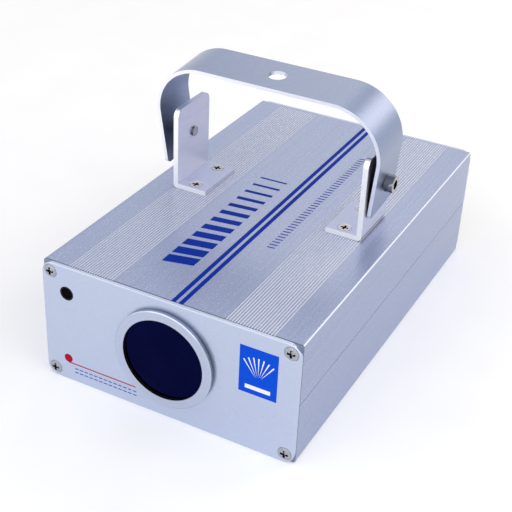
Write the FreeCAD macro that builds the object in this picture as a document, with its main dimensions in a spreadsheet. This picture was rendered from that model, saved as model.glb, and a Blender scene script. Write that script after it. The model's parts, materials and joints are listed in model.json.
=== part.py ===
import FreeCAD, Part
import os
import re
import Sketcher

# Laser show projector: an extruded aluminium case on a strap handle.
# Frame: origin at the centre of the underside, X to the right seen from the front, Y to the rear, Z up.

# Driving dimensions, in millimetres and degrees
SIZES = {
    # Case of two extruded halves
    "case_width": 150.0,
    "case_height": 72.0,
    "case_length": 243.5,
    "case_wall": 2.5,
    "case_edge_radius": 1.2,
    "seam_chamfer": 0.35,
    "seam_lip_height": 3.0,
    "seam_lip_thickness": 1.5,
    "boss_wall": 2.0,
    "fit_clearance": 0.1,
    # Fine grooves along the top and bottom
    "groove_count": 18,
    "groove_pitch": 1.53,
    "groove_width": 0.75,
    "groove_depth": 0.4,
    "groove_inset": 15.9,
    # End panels
    "panel_thickness": 2.0,
    "panel_corner_radius": 6.5,
    "panel_edge_radius": 0.4,
    # Countersunk cross-recess screws
    "screw_diameter": 4.0,
    "screw_head_diameter": 7.6,
    "screw_rim": 0.15,
    "screw_crown": 0.7,
    "screw_inset": 5.2,
    "panel_screw_length": 12.0,
    "recess_width": 1.3,
    "recess_span": 4.4,
    "recess_depth": 1.2,
    "recess_share": 0.6,
    "thread_clearance": 0.05,
    # Output window
    "window_margin": 12.6,
    "window_lift": 1.6,
    "glass_ledge": 1.0,
    "glass_thickness": 2.0,
    "gasket_thickness": 0.5,
    "retaining_ring_depth": 2.5,
    "retaining_ring_width": 1.5,
    "spigot_wall": 1.5,
    "spigot_spare": 2.0,
    "bezel_flange": 2.6,
    "bezel_height": 3.0,
    "bezel_chamfer": 0.4,
    "bezel_lip": 1.0,
    "ring_nut_width": 3.0,
    "ring_nut_depth": 2.0,
    # Microphone
    "mic_hole": 8.2,
    "mic_from_side": 15.0,
    "mic_from_top": 16.0,
    "grommet_wall": 0.75,
    "grommet_flange": 2.0,
    "grommet_flange_depth": 1.5,
    "mic_recess": 0.6,
    "capsule_depth": 5.0,
    # Handle brackets
    "bracket_thickness": 3.0,
    "bracket_height": 48.8,
    "bracket_depth": 35.0,
    "bracket_foot": 21.5,
    "bracket_corner_radius": 5.0,
    "bracket_bend_radius": 2.5,
    "bracket_forward": 1.5,
    "bracket_screw_spacing": 25.0,
    "pivot_drop": 18.8,
    # Strap handle
    "handle_rise": 48.0,
    "handle_inset": 6.9,
    "handle_shift": 2.6,
    "handle_width": 31.0,
    "strap_thickness": 2.0,
    "strap_bend_radius": 28.5,
    "leg_lean": 6.0,
    "leg_drop": 16.3,
    "leg_clearance": 0.35,
    "leg_corner_radius": 3.0,
    "handle_tilt": 5.0,
    "handle_hole": 10.5,
    # Pivot bolts
    "bolt_diameter": 6.0,
    "bolt_head_diameter": 10.0,
    "bolt_head_height": 5.0,
    "bolt_socket": 5.0,
    "bolt_socket_depth": 3.0,
    "bolt_tip": 1.2,
    # Chassis plate
    "plate_thickness": 2.0,
    "plate_front_gap": 12.0,
    "plate_rear_gap": 22.0,
    "plate_screw_inset": 6.0,
    "plate_screw_spacing": 48.0,
    # Laser and fold mirror
    "laser_inset": 33.0,
    "laser_width": 30.0,
    "laser_height": 24.0,
    "laser_rear_gap": 24.0,
    "nozzle_diameter": 8.0,
    "nozzle_length": 6.0,
    "nozzle_bore": 3.0,
    "sink_margin": 5.0,
    "fold_mirror_size": 14.0,
    "fold_mirror_thickness": 2.0,
    "fold_mount_thickness": 6.0,
    # Scanners
    "scanner_setback": 34.0,
    "mirror_spacing": 12.0,
    "mirror_length": 9.0,
    "mirror_width": 7.0,
    "mirror_thickness": 1.0,
    "scan_shaft": 3.0,
    "motor_diameter": 16.0,
    "motor_length": 26.0,
    "motor_gap": 5.0,
    "motor_clearance": 6.0,
    "block_wall": 4.0,
    "block_depth": 14.0,
    # Circuit boards
    "board_thickness": 1.6,
    "control_board_length": 56.0,
    "supply_board_length": 34.0,
    "driver_board_length": 34.0,
    "board_side_gap": 5.0,
    "board_centre_gap": 9.0,
    "board_rear_gap": 30.0,
    "board_hole_inset": 4.0,
    "standoff_diameter": 6.0,
    "standoff_height": 8.0,
    "small_screw": 3.0,
    "small_head_diameter": 5.5,
    "small_head_height": 2.0,
    "small_screw_length": 7.0,
    "chip_length": 18.0,
    "chip_width": 8.0,
    "chip_height": 4.0,
    "chip_spacing": 6.0,
    "capacitor_diameter": 8.0,
    "capacitor_height": 16.0,
    "capacitor_gap": 1.0,
    "transformer_size": 19.0,
    "transformer_height": 20.0,
    "parts_margin": 5.0,
    # Cooling fan
    "fan_size": 50.0,
    "fan_depth": 15.0,
    "fan_bore": 46.0,
    "fan_hole_spacing": 40.0,
    "fan_hub_diameter": 24.0,
    "fan_tip_gap": 1.0,
    "fan_blade_count": 7,
    "fan_blade_root": 2.0,
    "fan_blade_chord": 11.0,
    "fan_blade_thickness": 1.2,
    "fan_blade_pitch": 40.0,
    "fan_rib_width": 3.0,
    "fan_rib_depth": 2.0,
    "fan_end_gap": 1.0,
    "fan_shaft": 3.0,
    "guard_wire": 1.6,
    "guard_ring_count": 4,
    "guard_ring_spacing": 5.0,
    "screw_tail": 1.0,
    "nut_width": 7.0,
    "nut_depth": 3.2,
    # Rear controls
    "inlet_from_bottom": 18.0,
    "inlet_flange_width": 49.0,
    "inlet_flange_height": 22.5,
    "inlet_flange_depth": 3.0,
    "inlet_body_width": 27.0,
    "inlet_body_height": 19.5,
    "inlet_body_depth": 20.0,
    "inlet_wall": 1.5,
    "inlet_floor": 4.0,
    "inlet_screw_spacing": 40.0,
    "pin_pitch": 7.0,
    "pin_offset": 2.0,
    "pin_width": 2.0,
    "pin_height": 4.0,
    "pin_length": 14.0,
    "control_from_top": 20.0,
    "switch_offset": 16.0,
    "switch_width": 15.0,
    "switch_height": 10.5,
    "switch_bezel_depth": 2.0,
    "switch_bezel_margin": 1.2,
    "switch_wall": 1.2,
    "switch_body_depth": 14.0,
    "rocker_gap": 0.7,
    "rocker_side_gap": 0.3,
    "rocker_rise": 2.6,
    "rocker_dip": 1.2,
    "rocker_depth": 2.0,
    "rocker_throw": 9.0,
    "rocker_pin": 2.0,
    "knob_offset": 1.0,
    "knob_spacing": 16.0,
    "knob_diameter": 12.0,
    "knob_height": 11.0,
    "knob_chamfer": 1.0,
    "knob_gap": 0.5,
    "pot_diameter": 12.0,
    "pot_depth": 9.0,
    "pot_bushing": 7.0,
    "pot_bushing_length": 6.0,
    "pot_shaft": 5.0,
    "pot_nut_width": 10.0,
    "pot_nut_depth": 2.0,
}

doc = FreeCAD.newDocument("laser_show_projector")
sheet = doc.addObject("Spreadsheet::Sheet", "Sizes")
for row, (alias, value) in enumerate(SIZES.items(), start=1):
    sheet.set(f"A{row}", alias)
    sheet.set(f"B{row}", str(value))
    sheet.setAlias(f"B{row}", alias)
doc.recompute()

# Places that several pieces share, as expressions of the driving dimensions
HALF_WIDTH = "(case_width / 2)"
MID_HEIGHT = "(case_height / 2)"
FRONT_INNER = "(-case_length / 2)"
REAR_INNER = "(case_length / 2)"
FRONT_FACE = "(-case_length / 2 - panel_thickness)"
REAR_FACE = "(case_length / 2 + panel_thickness)"
INNER_HALF_WIDTH = "(case_width / 2 - case_wall)"
DECK = "(case_wall + plate_thickness)"
BORE_DIAMETER = "(screw_diameter + 2 * thread_clearance)"
BOSS_DIAMETER = "(screw_diameter + 2 * boss_wall)"
HEAD_CONE = "((screw_head_diameter - screw_diameter) / 2)"
CROWN_RADIUS = "((screw_head_diameter ^ 2 / 4 + screw_crown ^ 2) / (2 * screw_crown))"
SCREW_X = "(case_width / 2 - screw_inset)"
APERTURE = "(case_height - 2 * window_margin)"
GLASS_DIAMETER = f"({APERTURE} + 2 * glass_ledge)"
POCKET_DIAMETER = f"({GLASS_DIAMETER} + 2 * fit_clearance)"
SPIGOT_DIAMETER = f"({POCKET_DIAMETER} + 2 * spigot_wall)"
BEZEL_DIAMETER = f"({SPIGOT_DIAMETER} + 2 * bezel_flange)"
SPIGOT_LENGTH = "(panel_thickness + ring_nut_depth + spigot_spare)"
GLASS_SEAT = "(bezel_lip - bezel_height)"
WINDOW_Z = f"({MID_HEIGHT} + window_lift)"
MIC_X = "(-(case_width / 2 - mic_from_side))"
MIC_Z = "(case_height - mic_from_top)"
GROOVE_BAND = "((groove_count - 1) * groove_pitch)"
GROOVE_STARTS = (f"-{HALF_WIDTH} + groove_inset", f"{HALF_WIDTH} - groove_inset - {GROOVE_BAND}")
PIVOT_Z = "(case_height + bracket_height - pivot_drop)"
BRACKET_Y = "(-bracket_forward)"
HALF_SPAN = f"({HALF_WIDTH} - handle_inset)"
BEND_X = f"({HALF_SPAN} - strap_bend_radius)"
BEND_Z = "(handle_rise - strap_bend_radius)"
LEG_X = f"({BEND_X} + strap_bend_radius / cos(leg_lean) - {BEND_Z} * tan(leg_lean))"
LEG_END_X = f"({LEG_X} - strap_thickness / cos(leg_lean) - leg_drop * tan(leg_lean))"
UPRIGHT_X = f"({LEG_END_X} - handle_shift - leg_clearance)"
FOOT_SCREW_X = f"({UPRIGHT_X} - (bracket_foot + bracket_thickness) / 2)"
PLATE_HALF_WIDTH = f"({SCREW_X} - {BOSS_DIAMETER} / 2 - fit_clearance)"
PLATE_FRONT = f"({FRONT_INNER} + plate_front_gap)"
PLATE_REAR = f"({REAR_INNER} - plate_rear_gap)"
SCAN_Y = f"({FRONT_INNER} + scanner_setback)"
BEAM_Z = "(case_height / 2 - mirror_spacing)"
LASER_X = "(-(case_width / 2 - laser_inset))"
MOTOR_START = "(mirror_length / 2 + motor_gap)"
SCANNERS_END = f"({SCAN_Y} + {MOTOR_START} + motor_length + motor_clearance)"
LASER_FRONT = SCANNERS_END
BOARD_BOTTOM = f"({DECK} + standoff_height)"
BOARD_TOP = f"({BOARD_BOTTOM} + board_thickness)"
BOARD_WIDTH = f"({PLATE_HALF_WIDTH} - board_side_gap - board_centre_gap)"
RIGHT_BOARD_X = f"(board_centre_gap + {BOARD_WIDTH} / 2)"
CONTROL_FRONT = SCANNERS_END
SUPPLY_FRONT = f"({REAR_INNER} - board_rear_gap - supply_board_length)"
DRIVER_FRONT = f"({REAR_INNER} - board_rear_gap - driver_board_length)"
LASER_LENGTH = f"({DRIVER_FRONT} - laser_rear_gap - {LASER_FRONT})"
REAR_MARGIN = "((case_width - fan_size - inlet_flange_width) / 3)"
FAN_X = f"(-({HALF_WIDTH} - {REAR_MARGIN} - fan_size / 2))"
FAN_FRONT = f"({REAR_INNER} - fan_depth)"
INLET_X = f"({HALF_WIDTH} - {REAR_MARGIN} - inlet_flange_width / 2)"
CONTROL_Z = "(case_height - control_from_top)"
SWITCH_X = f"({INLET_X} - switch_offset)"
SWITCH_BODY_WIDTH = "(switch_width - 2 * switch_bezel_margin)"
SWITCH_BODY_HEIGHT = "(switch_height - 2 * switch_bezel_margin)"
KNOB_XS = {
    "sensitivity": f"({INLET_X} + knob_offset)",
    "speed": f"({INLET_X} + knob_offset + knob_spacing)",
}

# Turns that point a piece's own +Z along an axis of the part
X_AXIS = FreeCAD.Vector(1, 0, 0)
Y_AXIS = FreeCAD.Vector(0, 1, 0)
Z_AXIS = FreeCAD.Vector(0, 0, 1)
TO_FRONT = FreeCAD.Rotation(X_AXIS, 90)
TO_REAR = FreeCAD.Rotation(X_AXIS, -90)
TO_RIGHT = FreeCAD.Rotation(Y_AXIS, 90)
TO_LEFT = FreeCAD.Rotation(Y_AXIS, -90)
TO_BELOW = FreeCAD.Rotation(X_AXIS, 180)
UNTURNED = FreeCAD.Rotation()

WORD = re.compile(r"[a-z][a-z_0-9]*")
nodes = []


def bound(text):
    """The expression with each size written as a cell of the sheet."""
    return WORD.sub(lambda word: f"Sizes.{word[0]}" if word[0] in SIZES else word[0], str(text))


def amount(text):
    """The present value of an expression."""
    return float(sheet.evalExpression(bound(text)))


def bind(thing, **expressions):
    for name, text in expressions.items():
        thing.setExpression(name, bound(text))


def place(thing, position, turn=UNTURNED):
    thing.Placement = FreeCAD.Placement(FreeCAD.Vector(), turn)
    for axis, text in zip("xyz", position):
        thing.setExpression(f"Placement.Base.{axis}", bound(text))
    return thing


def node(thing, name):
    """Keep a finished sub-part under its own name."""
    thing.Label = name
    nodes.append(thing)
    return thing


# Part primitives


def block(name, size, corner):
    box = doc.addObject("Part::Box", name)
    bind(box, Length=size[0], Width=size[1], Height=size[2])
    return place(box, corner)


def centred_block(name, size, centre):
    corner = [f"{middle} - ({length}) / 2" for middle, length in zip(centre, size)]
    return block(name, size, corner)


def rod(name, diameter, length, start, turn=UNTURNED):
    cylinder = doc.addObject("Part::Cylinder", name)
    bind(cylinder, Radius=f"({diameter}) / 2", Height=length)
    return place(cylinder, start, turn)


def hexagon(name, width, length, start, turn=UNTURNED):
    prism = doc.addObject("Part::Prism", name)
    prism.Polygon = 6
    bind(prism, Circumradius=f"({width}) / 2 / cos(30)", Height=length)
    return place(prism, start, turn)


def joined(name, things):
    fuse = doc.addObject("Part::MultiFuse", name)
    fuse.Shapes = things
    return fuse


def cut(name, base, tools):
    result = doc.addObject("Part::Cut", name)
    result.Base = base
    result.Tool = tools[0] if len(tools) == 1 else joined(f"{name}_tools", tools)
    return result


def ring(name, outer, inner, length, start, turn=UNTURNED):
    solid = rod(f"{name}_outer", outer, length, start, turn)
    return cut(name, solid, [rod(f"{name}_bore", inner, length, start, turn)])


def group(name, things):
    compound = doc.addObject("Part::Compound", name)
    compound.Links = things
    return compound


def copies(name, master, positions, turn=UNTURNED):
    """One node of separate solids, each the master moved to its own place."""
    return group(name, [place(group(f"{name}_{index}", [master]), position, turn)
                        for index, position in enumerate(positions)])


# Sketches and Part Design features


def origin_part(body, role):
    return next(feature for feature in body.Origin.OriginFeatures if feature.Role == role)


def new_body(name):
    return doc.addObject("PartDesign::Body", name)


def new_sketch(body, name, plane, offset="0"):
    """A sketch on an origin plane: XZ_Plane faces the front, YZ_Plane the right and XY_Plane the top."""
    sketch = body.newObject("Sketcher::SketchObject", name)
    sketch.AttachmentSupport = [(origin_part(body, plane), "")]
    sketch.MapMode = "FlatFace"
    bind(sketch, **{"AttachmentOffset.Base.z": offset})
    return sketch


def fix_point(sketch, geometry, end, point):
    for direction, text in zip(("DistanceX", "DistanceY"), point):
        index = sketch.addConstraint(Sketcher.Constraint(direction, -1, 1, geometry, end, amount(text)))
        sketch.setExpression(f"Constraints[{index}]", bound(text))


def fix_radius(sketch, geometry, radius):
    index = sketch.addConstraint(Sketcher.Constraint("Radius", geometry, amount(radius)))
    sketch.setExpression(f"Constraints[{index}]", bound(radius))


def arc_between(start, end, radius):
    """The short arc that runs anticlockwise from start to end."""
    half_chord = (end - start) * 0.5
    rise = max(radius ** 2 - half_chord.Length ** 2, 0.0) ** 0.5
    normal = FreeCAD.Vector(-half_chord.y, half_chord.x, 0).normalize()
    centre = start + half_chord + normal * rise
    circle = Part.Circle(centre, Z_AXIS, radius)
    return Part.ArcOfCircle(circle, circle.parameter(start), circle.parameter(end))


def outline(sketch, points):
    """A closed outline. A point is (x, y), or (x, y, radius, way) where an arc starts there."""
    spots = [FreeCAD.Vector(amount(point[0]), amount(point[1]), 0) for point in points]
    first = sketch.GeometryCount
    ends = []
    for index, point in enumerate(points):
        start = spots[index]
        finish = spots[(index + 1) % len(spots)]
        if len(point) == 2:
            sketch.addGeometry(Part.LineSegment(start, finish), False)
            ends.append((1, 2))
        elif point[3] == "anticlockwise":
            sketch.addGeometry(arc_between(start, finish, amount(point[2])), False)
            ends.append((1, 2))
        else:
            sketch.addGeometry(arc_between(finish, start, amount(point[2])), False)
            ends.append((2, 1))
    for index, point in enumerate(points):
        following = (index + 1) % len(points)
        joint = (first + index, ends[index][1], first + following, ends[following][0])
        sketch.addConstraint(Sketcher.Constraint("Coincident", *joint))
        fix_point(sketch, first + index, ends[index][0], point)
        if len(point) == 4:
            fix_radius(sketch, first + index, point[2])
    return sketch


def rectangle(sketch, centre, width, height):
    left = f"{centre[0]} - ({width}) / 2"
    right = f"{centre[0]} + ({width}) / 2"
    low = f"{centre[1]} - ({height}) / 2"
    high = f"{centre[1]} + ({height}) / 2"
    return outline(sketch, [(left, low), (right, low), (right, high), (left, high)])


def circle(sketch, centre, diameter):
    spot = FreeCAD.Vector(amount(centre[0]), amount(centre[1]), 0)
    radius = f"({diameter}) / 2"
    index = sketch.addGeometry(Part.Circle(spot, Z_AXIS, amount(radius)), False)
    fix_point(sketch, index, 3, centre)
    fix_radius(sketch, index, radius)
    return sketch


def pad(body, sketch, length, reverse=False):
    feature = body.newObject("PartDesign::Pad", f"{sketch.Name}_pad")
    feature.Profile = sketch
    feature.Reversed = reverse
    bind(feature, Length=length)
    return feature


def pocket(body, sketch, length=None, reverse=False):
    feature = body.newObject("PartDesign::Pocket", f"{sketch.Name}_pocket")
    feature.Profile = sketch
    feature.Reversed = reverse
    if length is None:
        feature.Type = "ThroughAll"
    else:
        bind(feature, Length=length)
    return feature


def revolve(body, sketch):
    """Turn a profile of (radius, height) about the sketch's upright axis."""
    feature = body.newObject("PartDesign::Revolution", f"{sketch.Name}_turned")
    feature.Profile = sketch
    feature.ReferenceAxis = (sketch, ["V_Axis"])
    feature.Angle = 360
    return feature


def countersunk_holes(body, sketch, reverse=False):
    """Holes that seat the countersunk screws flush."""
    feature = body.newObject("PartDesign::Hole", f"{sketch.Name}_hole")
    feature.Profile = sketch
    feature.Reversed = reverse
    doc.recompute()
    feature.ThreadType = "None"
    feature.DepthType = "ThroughAll"
    feature.HoleCutType = "Countersink"
    feature.HoleCutCustomValues = True
    feature.HoleCutCountersinkAngle = 90
    seat = "screw_head_diameter + 2 * screw_rim + 2 * thread_clearance"
    bind(feature, Diameter=BORE_DIAMETER, HoleCutDiameter=seat)
    return feature


def edges_along(feature, axis, keep=lambda middle: True):
    """Names of the straight edges parallel to an axis, whose middle passes the test."""
    doc.recompute()
    names = []
    for index, edge in enumerate(feature.Shape.Edges, start=1):
        along = edge.Vertexes[-1].Point - edge.Vertexes[0].Point
        straight = isinstance(edge.Curve, Part.Line)
        if straight and along.cross(axis).Length < 1e-6 * along.Length and keep(edge.CenterOfMass):
            names.append(f"Edge{index}")
    return names


def edges_at_depth(feature, depth):
    """Names of the edges that lie in one plane across Y."""
    doc.recompute()
    plane = amount(depth)
    boxes = [edge.BoundBox for edge in feature.Shape.Edges]
    return [f"Edge{index}" for index, box in enumerate(boxes, start=1)
            if max(abs(box.YMin - plane), abs(box.YMax - plane)) < 1e-3]


def fillet(body, feature, edges, radius):
    rounded = body.newObject("PartDesign::Fillet", f"{feature.Name}_fillet")
    rounded.Base = (feature, edges)
    bind(rounded, Radius=radius)
    return rounded


# Screws shared by several places


def cross_recess(name, span, width, depth):
    arms = [(span, width, depth), (width, span, depth)]
    centre = ("0", "0", f"-({depth}) / 2")
    return [centred_block(f"{name}_arm_{index}", size, centre) for index, size in enumerate(arms)]


def countersunk_screw(name, length, crowned=False):
    """A countersunk screw whose head's rim is at its origin, pointing up, with a flat or domed top."""
    rim = rod(f"{name}_rim", "screw_head_diameter", "screw_rim", ("0", "0", "-screw_rim"))
    cone = doc.addObject("Part::Cone", f"{name}_cone")
    bind(cone, Radius1="screw_diameter / 2", Radius2="screw_head_diameter / 2", Height=HEAD_CONE)
    place(cone, ("0", "0", f"-screw_rim - {HEAD_CONE}"))
    shank = rod(f"{name}_shank", "screw_diameter", f"{length} - screw_rim", ("0", "0", f"-({length})"))
    recess = cross_recess(name, "recess_span", "recess_width", "recess_depth")
    if not crowned:
        return cut(name, joined(f"{name}_solid", [rim, cone, shank]), recess)
    crown = doc.addObject("Part::Sphere", f"{name}_crown")
    bind(crown, Radius=CROWN_RADIUS, Angle1=f"asin(1 - screw_crown / {CROWN_RADIUS})")
    place(crown, ("0", "0", f"screw_crown - {CROWN_RADIUS}"))
    raised = joined(f"{name}_raised_recess", recess)
    place(raised, ("0", "0", "screw_crown"))
    return cut(name, joined(f"{name}_solid", [rim, cone, shank, crown]), [raised])


def pan_screw(name, diameter, head_diameter, head_height, length):
    """A flat-headed screw whose head sits on its origin, pointing up."""
    head = rod(f"{name}_head", head_diameter, head_height, ("0", "0", "0"))
    shank = rod(f"{name}_shank", diameter, length, ("0", "0", f"-({length})"))
    span = f"{head_diameter} * recess_share"
    arms = cross_recess(name, span, "recess_width", f"{head_height} * recess_share")
    recess = joined(f"{name}_recess", arms)
    place(recess, ("0", "0", head_height))
    return cut(name, joined(f"{name}_solid", [head, shank]), [recess])


def corner_places(y):
    return [(f"{side} * {SCREW_X}", y, height)
            for side in (-1, 1) for height in ("screw_inset", "case_height - screw_inset")]


# Case


def shell(name, upper):
    """One extruded half: upper or lower, with its screw bosses, grooves and end holes."""

    def level(depth):
        """Height at a depth below the half's own outer face."""
        return f"case_height - ({depth})" if upper else f"{depth}"

    body = new_body(name)
    way = "clockwise" if upper else "anticlockwise"
    seam = MID_HEIGHT
    arc = ("case_edge_radius", way)
    lip_reach = f"{MID_HEIGHT} + seam_lip_height"
    outside = [
        (f"-{HALF_WIDTH} + seam_chamfer", seam),
        (f"-{HALF_WIDTH}", level(f"{MID_HEIGHT} - seam_chamfer")),
        (f"-{HALF_WIDTH}", level("case_edge_radius"), *arc),
        (f"-{HALF_WIDTH} + case_edge_radius", level("0")),
        (f"{HALF_WIDTH} - case_edge_radius", level("0"), *arc),
        (HALF_WIDTH, level("case_edge_radius")),
        (HALF_WIDTH, level(f"{MID_HEIGHT} - seam_chamfer")),
        (f"{HALF_WIDTH} - seam_chamfer", seam),
    ]
    inner = INNER_HALF_WIDTH
    ceiling = level("case_wall")
    inside = [(inner, seam), (inner, ceiling), (f"-{inner}", ceiling), (f"-{inner}", seam)]
    profile = outline(new_sketch(body, f"{name}_profile", "XZ_Plane", REAR_INNER), outside + inside)
    feature = pad(body, profile, "case_length", reverse=True)
    bosses = new_sketch(body, f"{name}_bosses", "XZ_Plane", REAR_INNER)
    for side in (-1, 1):
        circle(bosses, (f"{side} * {SCREW_X}", level("screw_inset")), BOSS_DIAMETER)
    feature = pad(body, bosses, "case_length", reverse=True)
    if not upper:
        lips = new_sketch(body, f"{name}_lips", "XZ_Plane", REAR_INNER)
        root = f"{MID_HEIGHT} - seam_lip_height"
        for side in (-1, 1):
            near = f"{side} * ({inner} - fit_clearance)"
            far = f"{side} * ({inner} - fit_clearance - seam_lip_thickness)"
            wall = f"{side} * {inner}"
            outline(lips, [(wall, root), (wall, MID_HEIGHT), (near, MID_HEIGHT),
                           (near, lip_reach), (far, lip_reach), (far, root)])
        feature = pad(body, lips, "case_length", reverse=True)
    bores = new_sketch(body, f"{name}_bores", "XZ_Plane", REAR_INNER)
    for side in (-1, 1):
        circle(bores, (f"{side} * {SCREW_X}", level("screw_inset")), BORE_DIAMETER)
    feature = pocket(body, bores, "case_length")
    groove = new_sketch(body, f"{name}_groove", "XZ_Plane", REAR_INNER)
    for x in GROOVE_STARTS:
        rectangle(groove, (x, level("groove_depth / 2")), "groove_width", "groove_depth")
    first_groove = pocket(body, groove, "case_length")
    band = body.newObject("PartDesign::LinearPattern", f"{name}_groove_bands")
    band.Originals = [first_groove]
    band.Direction = (origin_part(body, "X_Axis"), [""])
    band.Mode = "Spacing"
    bind(band, Offset="groove_pitch", Occurrences="groove_count")
    body.Tip = band
    doc.recompute()
    fixings = new_sketch(body, f"{name}_fixings", "XY_Plane", level("0"))
    if upper:
        for x, y in bracket_screw_places():
            circle(fixings, (x, y), BORE_DIAMETER)
        pocket(body, fixings, "case_wall")
    else:
        for x, y in plate_screw_places():
            circle(fixings, (x, y), BORE_DIAMETER)
        countersunk_holes(body, fixings, reverse=True)
    return node(body, name)


def bracket_screw_places():
    return [(f"{side} * {FOOT_SCREW_X}", f"{BRACKET_Y} + {end} * bracket_screw_spacing / 2")
            for side in (-1, 1) for end in (-1, 1)]


def plate_screw_places():
    return [(f"{side} * plate_screw_spacing / 2", y)
            for side in (-1, 1)
            for y in (f"{PLATE_FRONT} + plate_screw_inset", f"{PLATE_REAR} - plate_screw_inset")]


def panel_blank(name, front):
    """An end panel with rounded corners and its four countersunk holes."""
    body = new_body(name)
    offset = f"-{FRONT_FACE}" if front else f"-{REAR_INNER}"
    face = new_sketch(body, f"{name}_face", "XZ_Plane", offset)
    rectangle(face, ("0", MID_HEIGHT), "case_width", "case_height")
    plate = pad(body, face, "panel_thickness", reverse=True)
    rounded = fillet(body, plate, edges_along(plate, Y_AXIS), "panel_corner_radius")
    fillet(body, rounded, edges_at_depth(rounded, FRONT_FACE if front else REAR_FACE), "panel_edge_radius")
    holes = new_sketch(body, f"{name}_holes", "XZ_Plane", f"-{FRONT_FACE}" if front else f"-{REAR_FACE}")
    for x, y, z in corner_places("0"):
        circle(holes, (x, z), BORE_DIAMETER)
    countersunk_holes(body, holes, reverse=not front)
    return body


def front_panel():
    body = panel_blank("front_panel", front=True)
    openings = new_sketch(body, "front_panel_openings", "XZ_Plane", f"-{FRONT_FACE}")
    circle(openings, ("0", WINDOW_Z), f"{SPIGOT_DIAMETER} + 2 * fit_clearance")
    circle(openings, (MIC_X, MIC_Z), "mic_hole + 2 * thread_clearance")
    pocket(body, openings)
    node(body, "front_panel")


def rear_panel():
    body = panel_blank("rear_panel", front=False)
    openings = new_sketch(body, "rear_panel_openings", "XZ_Plane", f"-{REAR_INNER}")
    circle(openings, (FAN_X, MID_HEIGHT), "fan_bore")
    for x, z in fan_hole_places():
        circle(openings, (x, z), BORE_DIAMETER)
    slack = "2 * fit_clearance"
    rectangle(openings, (INLET_X, "inlet_from_bottom"),
              f"inlet_body_width + {slack}", f"inlet_body_height + {slack}")
    for x in inlet_screw_places():
        circle(openings, (x, "inlet_from_bottom"), "small_screw + 2 * thread_clearance")
    rectangle(openings, (SWITCH_X, CONTROL_Z),
              f"{SWITCH_BODY_WIDTH} + {slack}", f"{SWITCH_BODY_HEIGHT} + {slack}")
    for x in KNOB_XS.values():
        circle(openings, (x, CONTROL_Z), "pot_bushing + 2 * fit_clearance")
    pocket(body, openings)
    node(body, "rear_panel")


def panel_screws():
    screw = countersunk_screw("panel_screw", "panel_screw_length", crowned=True)
    node(copies("front_panel_screws", screw, corner_places(FRONT_FACE), TO_FRONT), "front_panel_screws")
    node(copies("rear_panel_screws", screw, corner_places(REAR_FACE), TO_REAR), "rear_panel_screws")


# Output window


def turned_piece(name, profile, position, turn):
    """A body of revolution about its own Z, from (radius, height) points."""
    body = new_body(name)
    revolve(body, outline(new_sketch(body, f"{name}_profile", "XZ_Plane"), profile))
    place(body, position, turn)
    return node(body, name)


def window():
    centre = ("0", FRONT_FACE, WINDOW_Z)
    aperture = f"{APERTURE} / 2"
    rim = f"{BEZEL_DIAMETER} / 2"
    spigot = f"{SPIGOT_DIAMETER} / 2"
    seat = f"{POCKET_DIAMETER} / 2"
    turned_piece("lens_bezel", [
        (aperture, "-bezel_height"), (f"{rim} - bezel_chamfer", "-bezel_height"),
        (rim, "bezel_chamfer - bezel_height"), (rim, "0"), (spigot, "0"),
        (spigot, SPIGOT_LENGTH), (seat, SPIGOT_LENGTH), (seat, GLASS_SEAT),
        (aperture, GLASS_SEAT),
    ], centre, TO_REAR)
    nut_outer = f"{SPIGOT_DIAMETER} + 2 * ring_nut_width"
    nut_inner = f"{SPIGOT_DIAMETER} + 2 * thread_clearance"
    nut = ring("bezel_ring_nut", nut_outer, nut_inner, "ring_nut_depth",
               ("0", FRONT_INNER, WINDOW_Z), TO_REAR)
    node(nut, "bezel_ring_nut")
    depth = f"{FRONT_FACE} + {GLASS_SEAT}"
    gasket = ring("window_gasket", GLASS_DIAMETER, APERTURE, "gasket_thickness",
                  ("0", depth, WINDOW_Z), TO_REAR)
    node(gasket, "window_gasket")
    depth = f"{depth} + gasket_thickness"
    glass = rod("window_glass", GLASS_DIAMETER, "glass_thickness", ("0", depth, WINDOW_Z), TO_REAR)
    node(glass, "window_glass")
    depth = f"{depth} + glass_thickness"
    retainer = ring("window_retaining_ring", GLASS_DIAMETER, f"{GLASS_DIAMETER} - 2 * retaining_ring_width",
                    "retaining_ring_depth", ("0", depth, WINDOW_Z), TO_REAR)
    node(retainer, "window_retaining_ring")


def microphone():
    centre = (MIC_X, FRONT_FACE, MIC_Z)
    bore = "(mic_hole / 2 - grommet_wall)"
    flange = "(mic_hole / 2 + grommet_flange)"
    back = "(panel_thickness + grommet_flange_depth)"
    turned_piece("microphone_grommet", [
        (bore, "0"), ("mic_hole / 2", "0"), ("mic_hole / 2", "panel_thickness"), (flange, "panel_thickness"),
        (flange, back), (bore, back),
    ], centre, TO_REAR)
    face = (MIC_X, f"{FRONT_FACE} + mic_recess", MIC_Z)
    node(rod("microphone_capsule", f"2 * {bore}", "capsule_depth", face, TO_REAR), "microphone_capsule")


# Handle and its brackets


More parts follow.
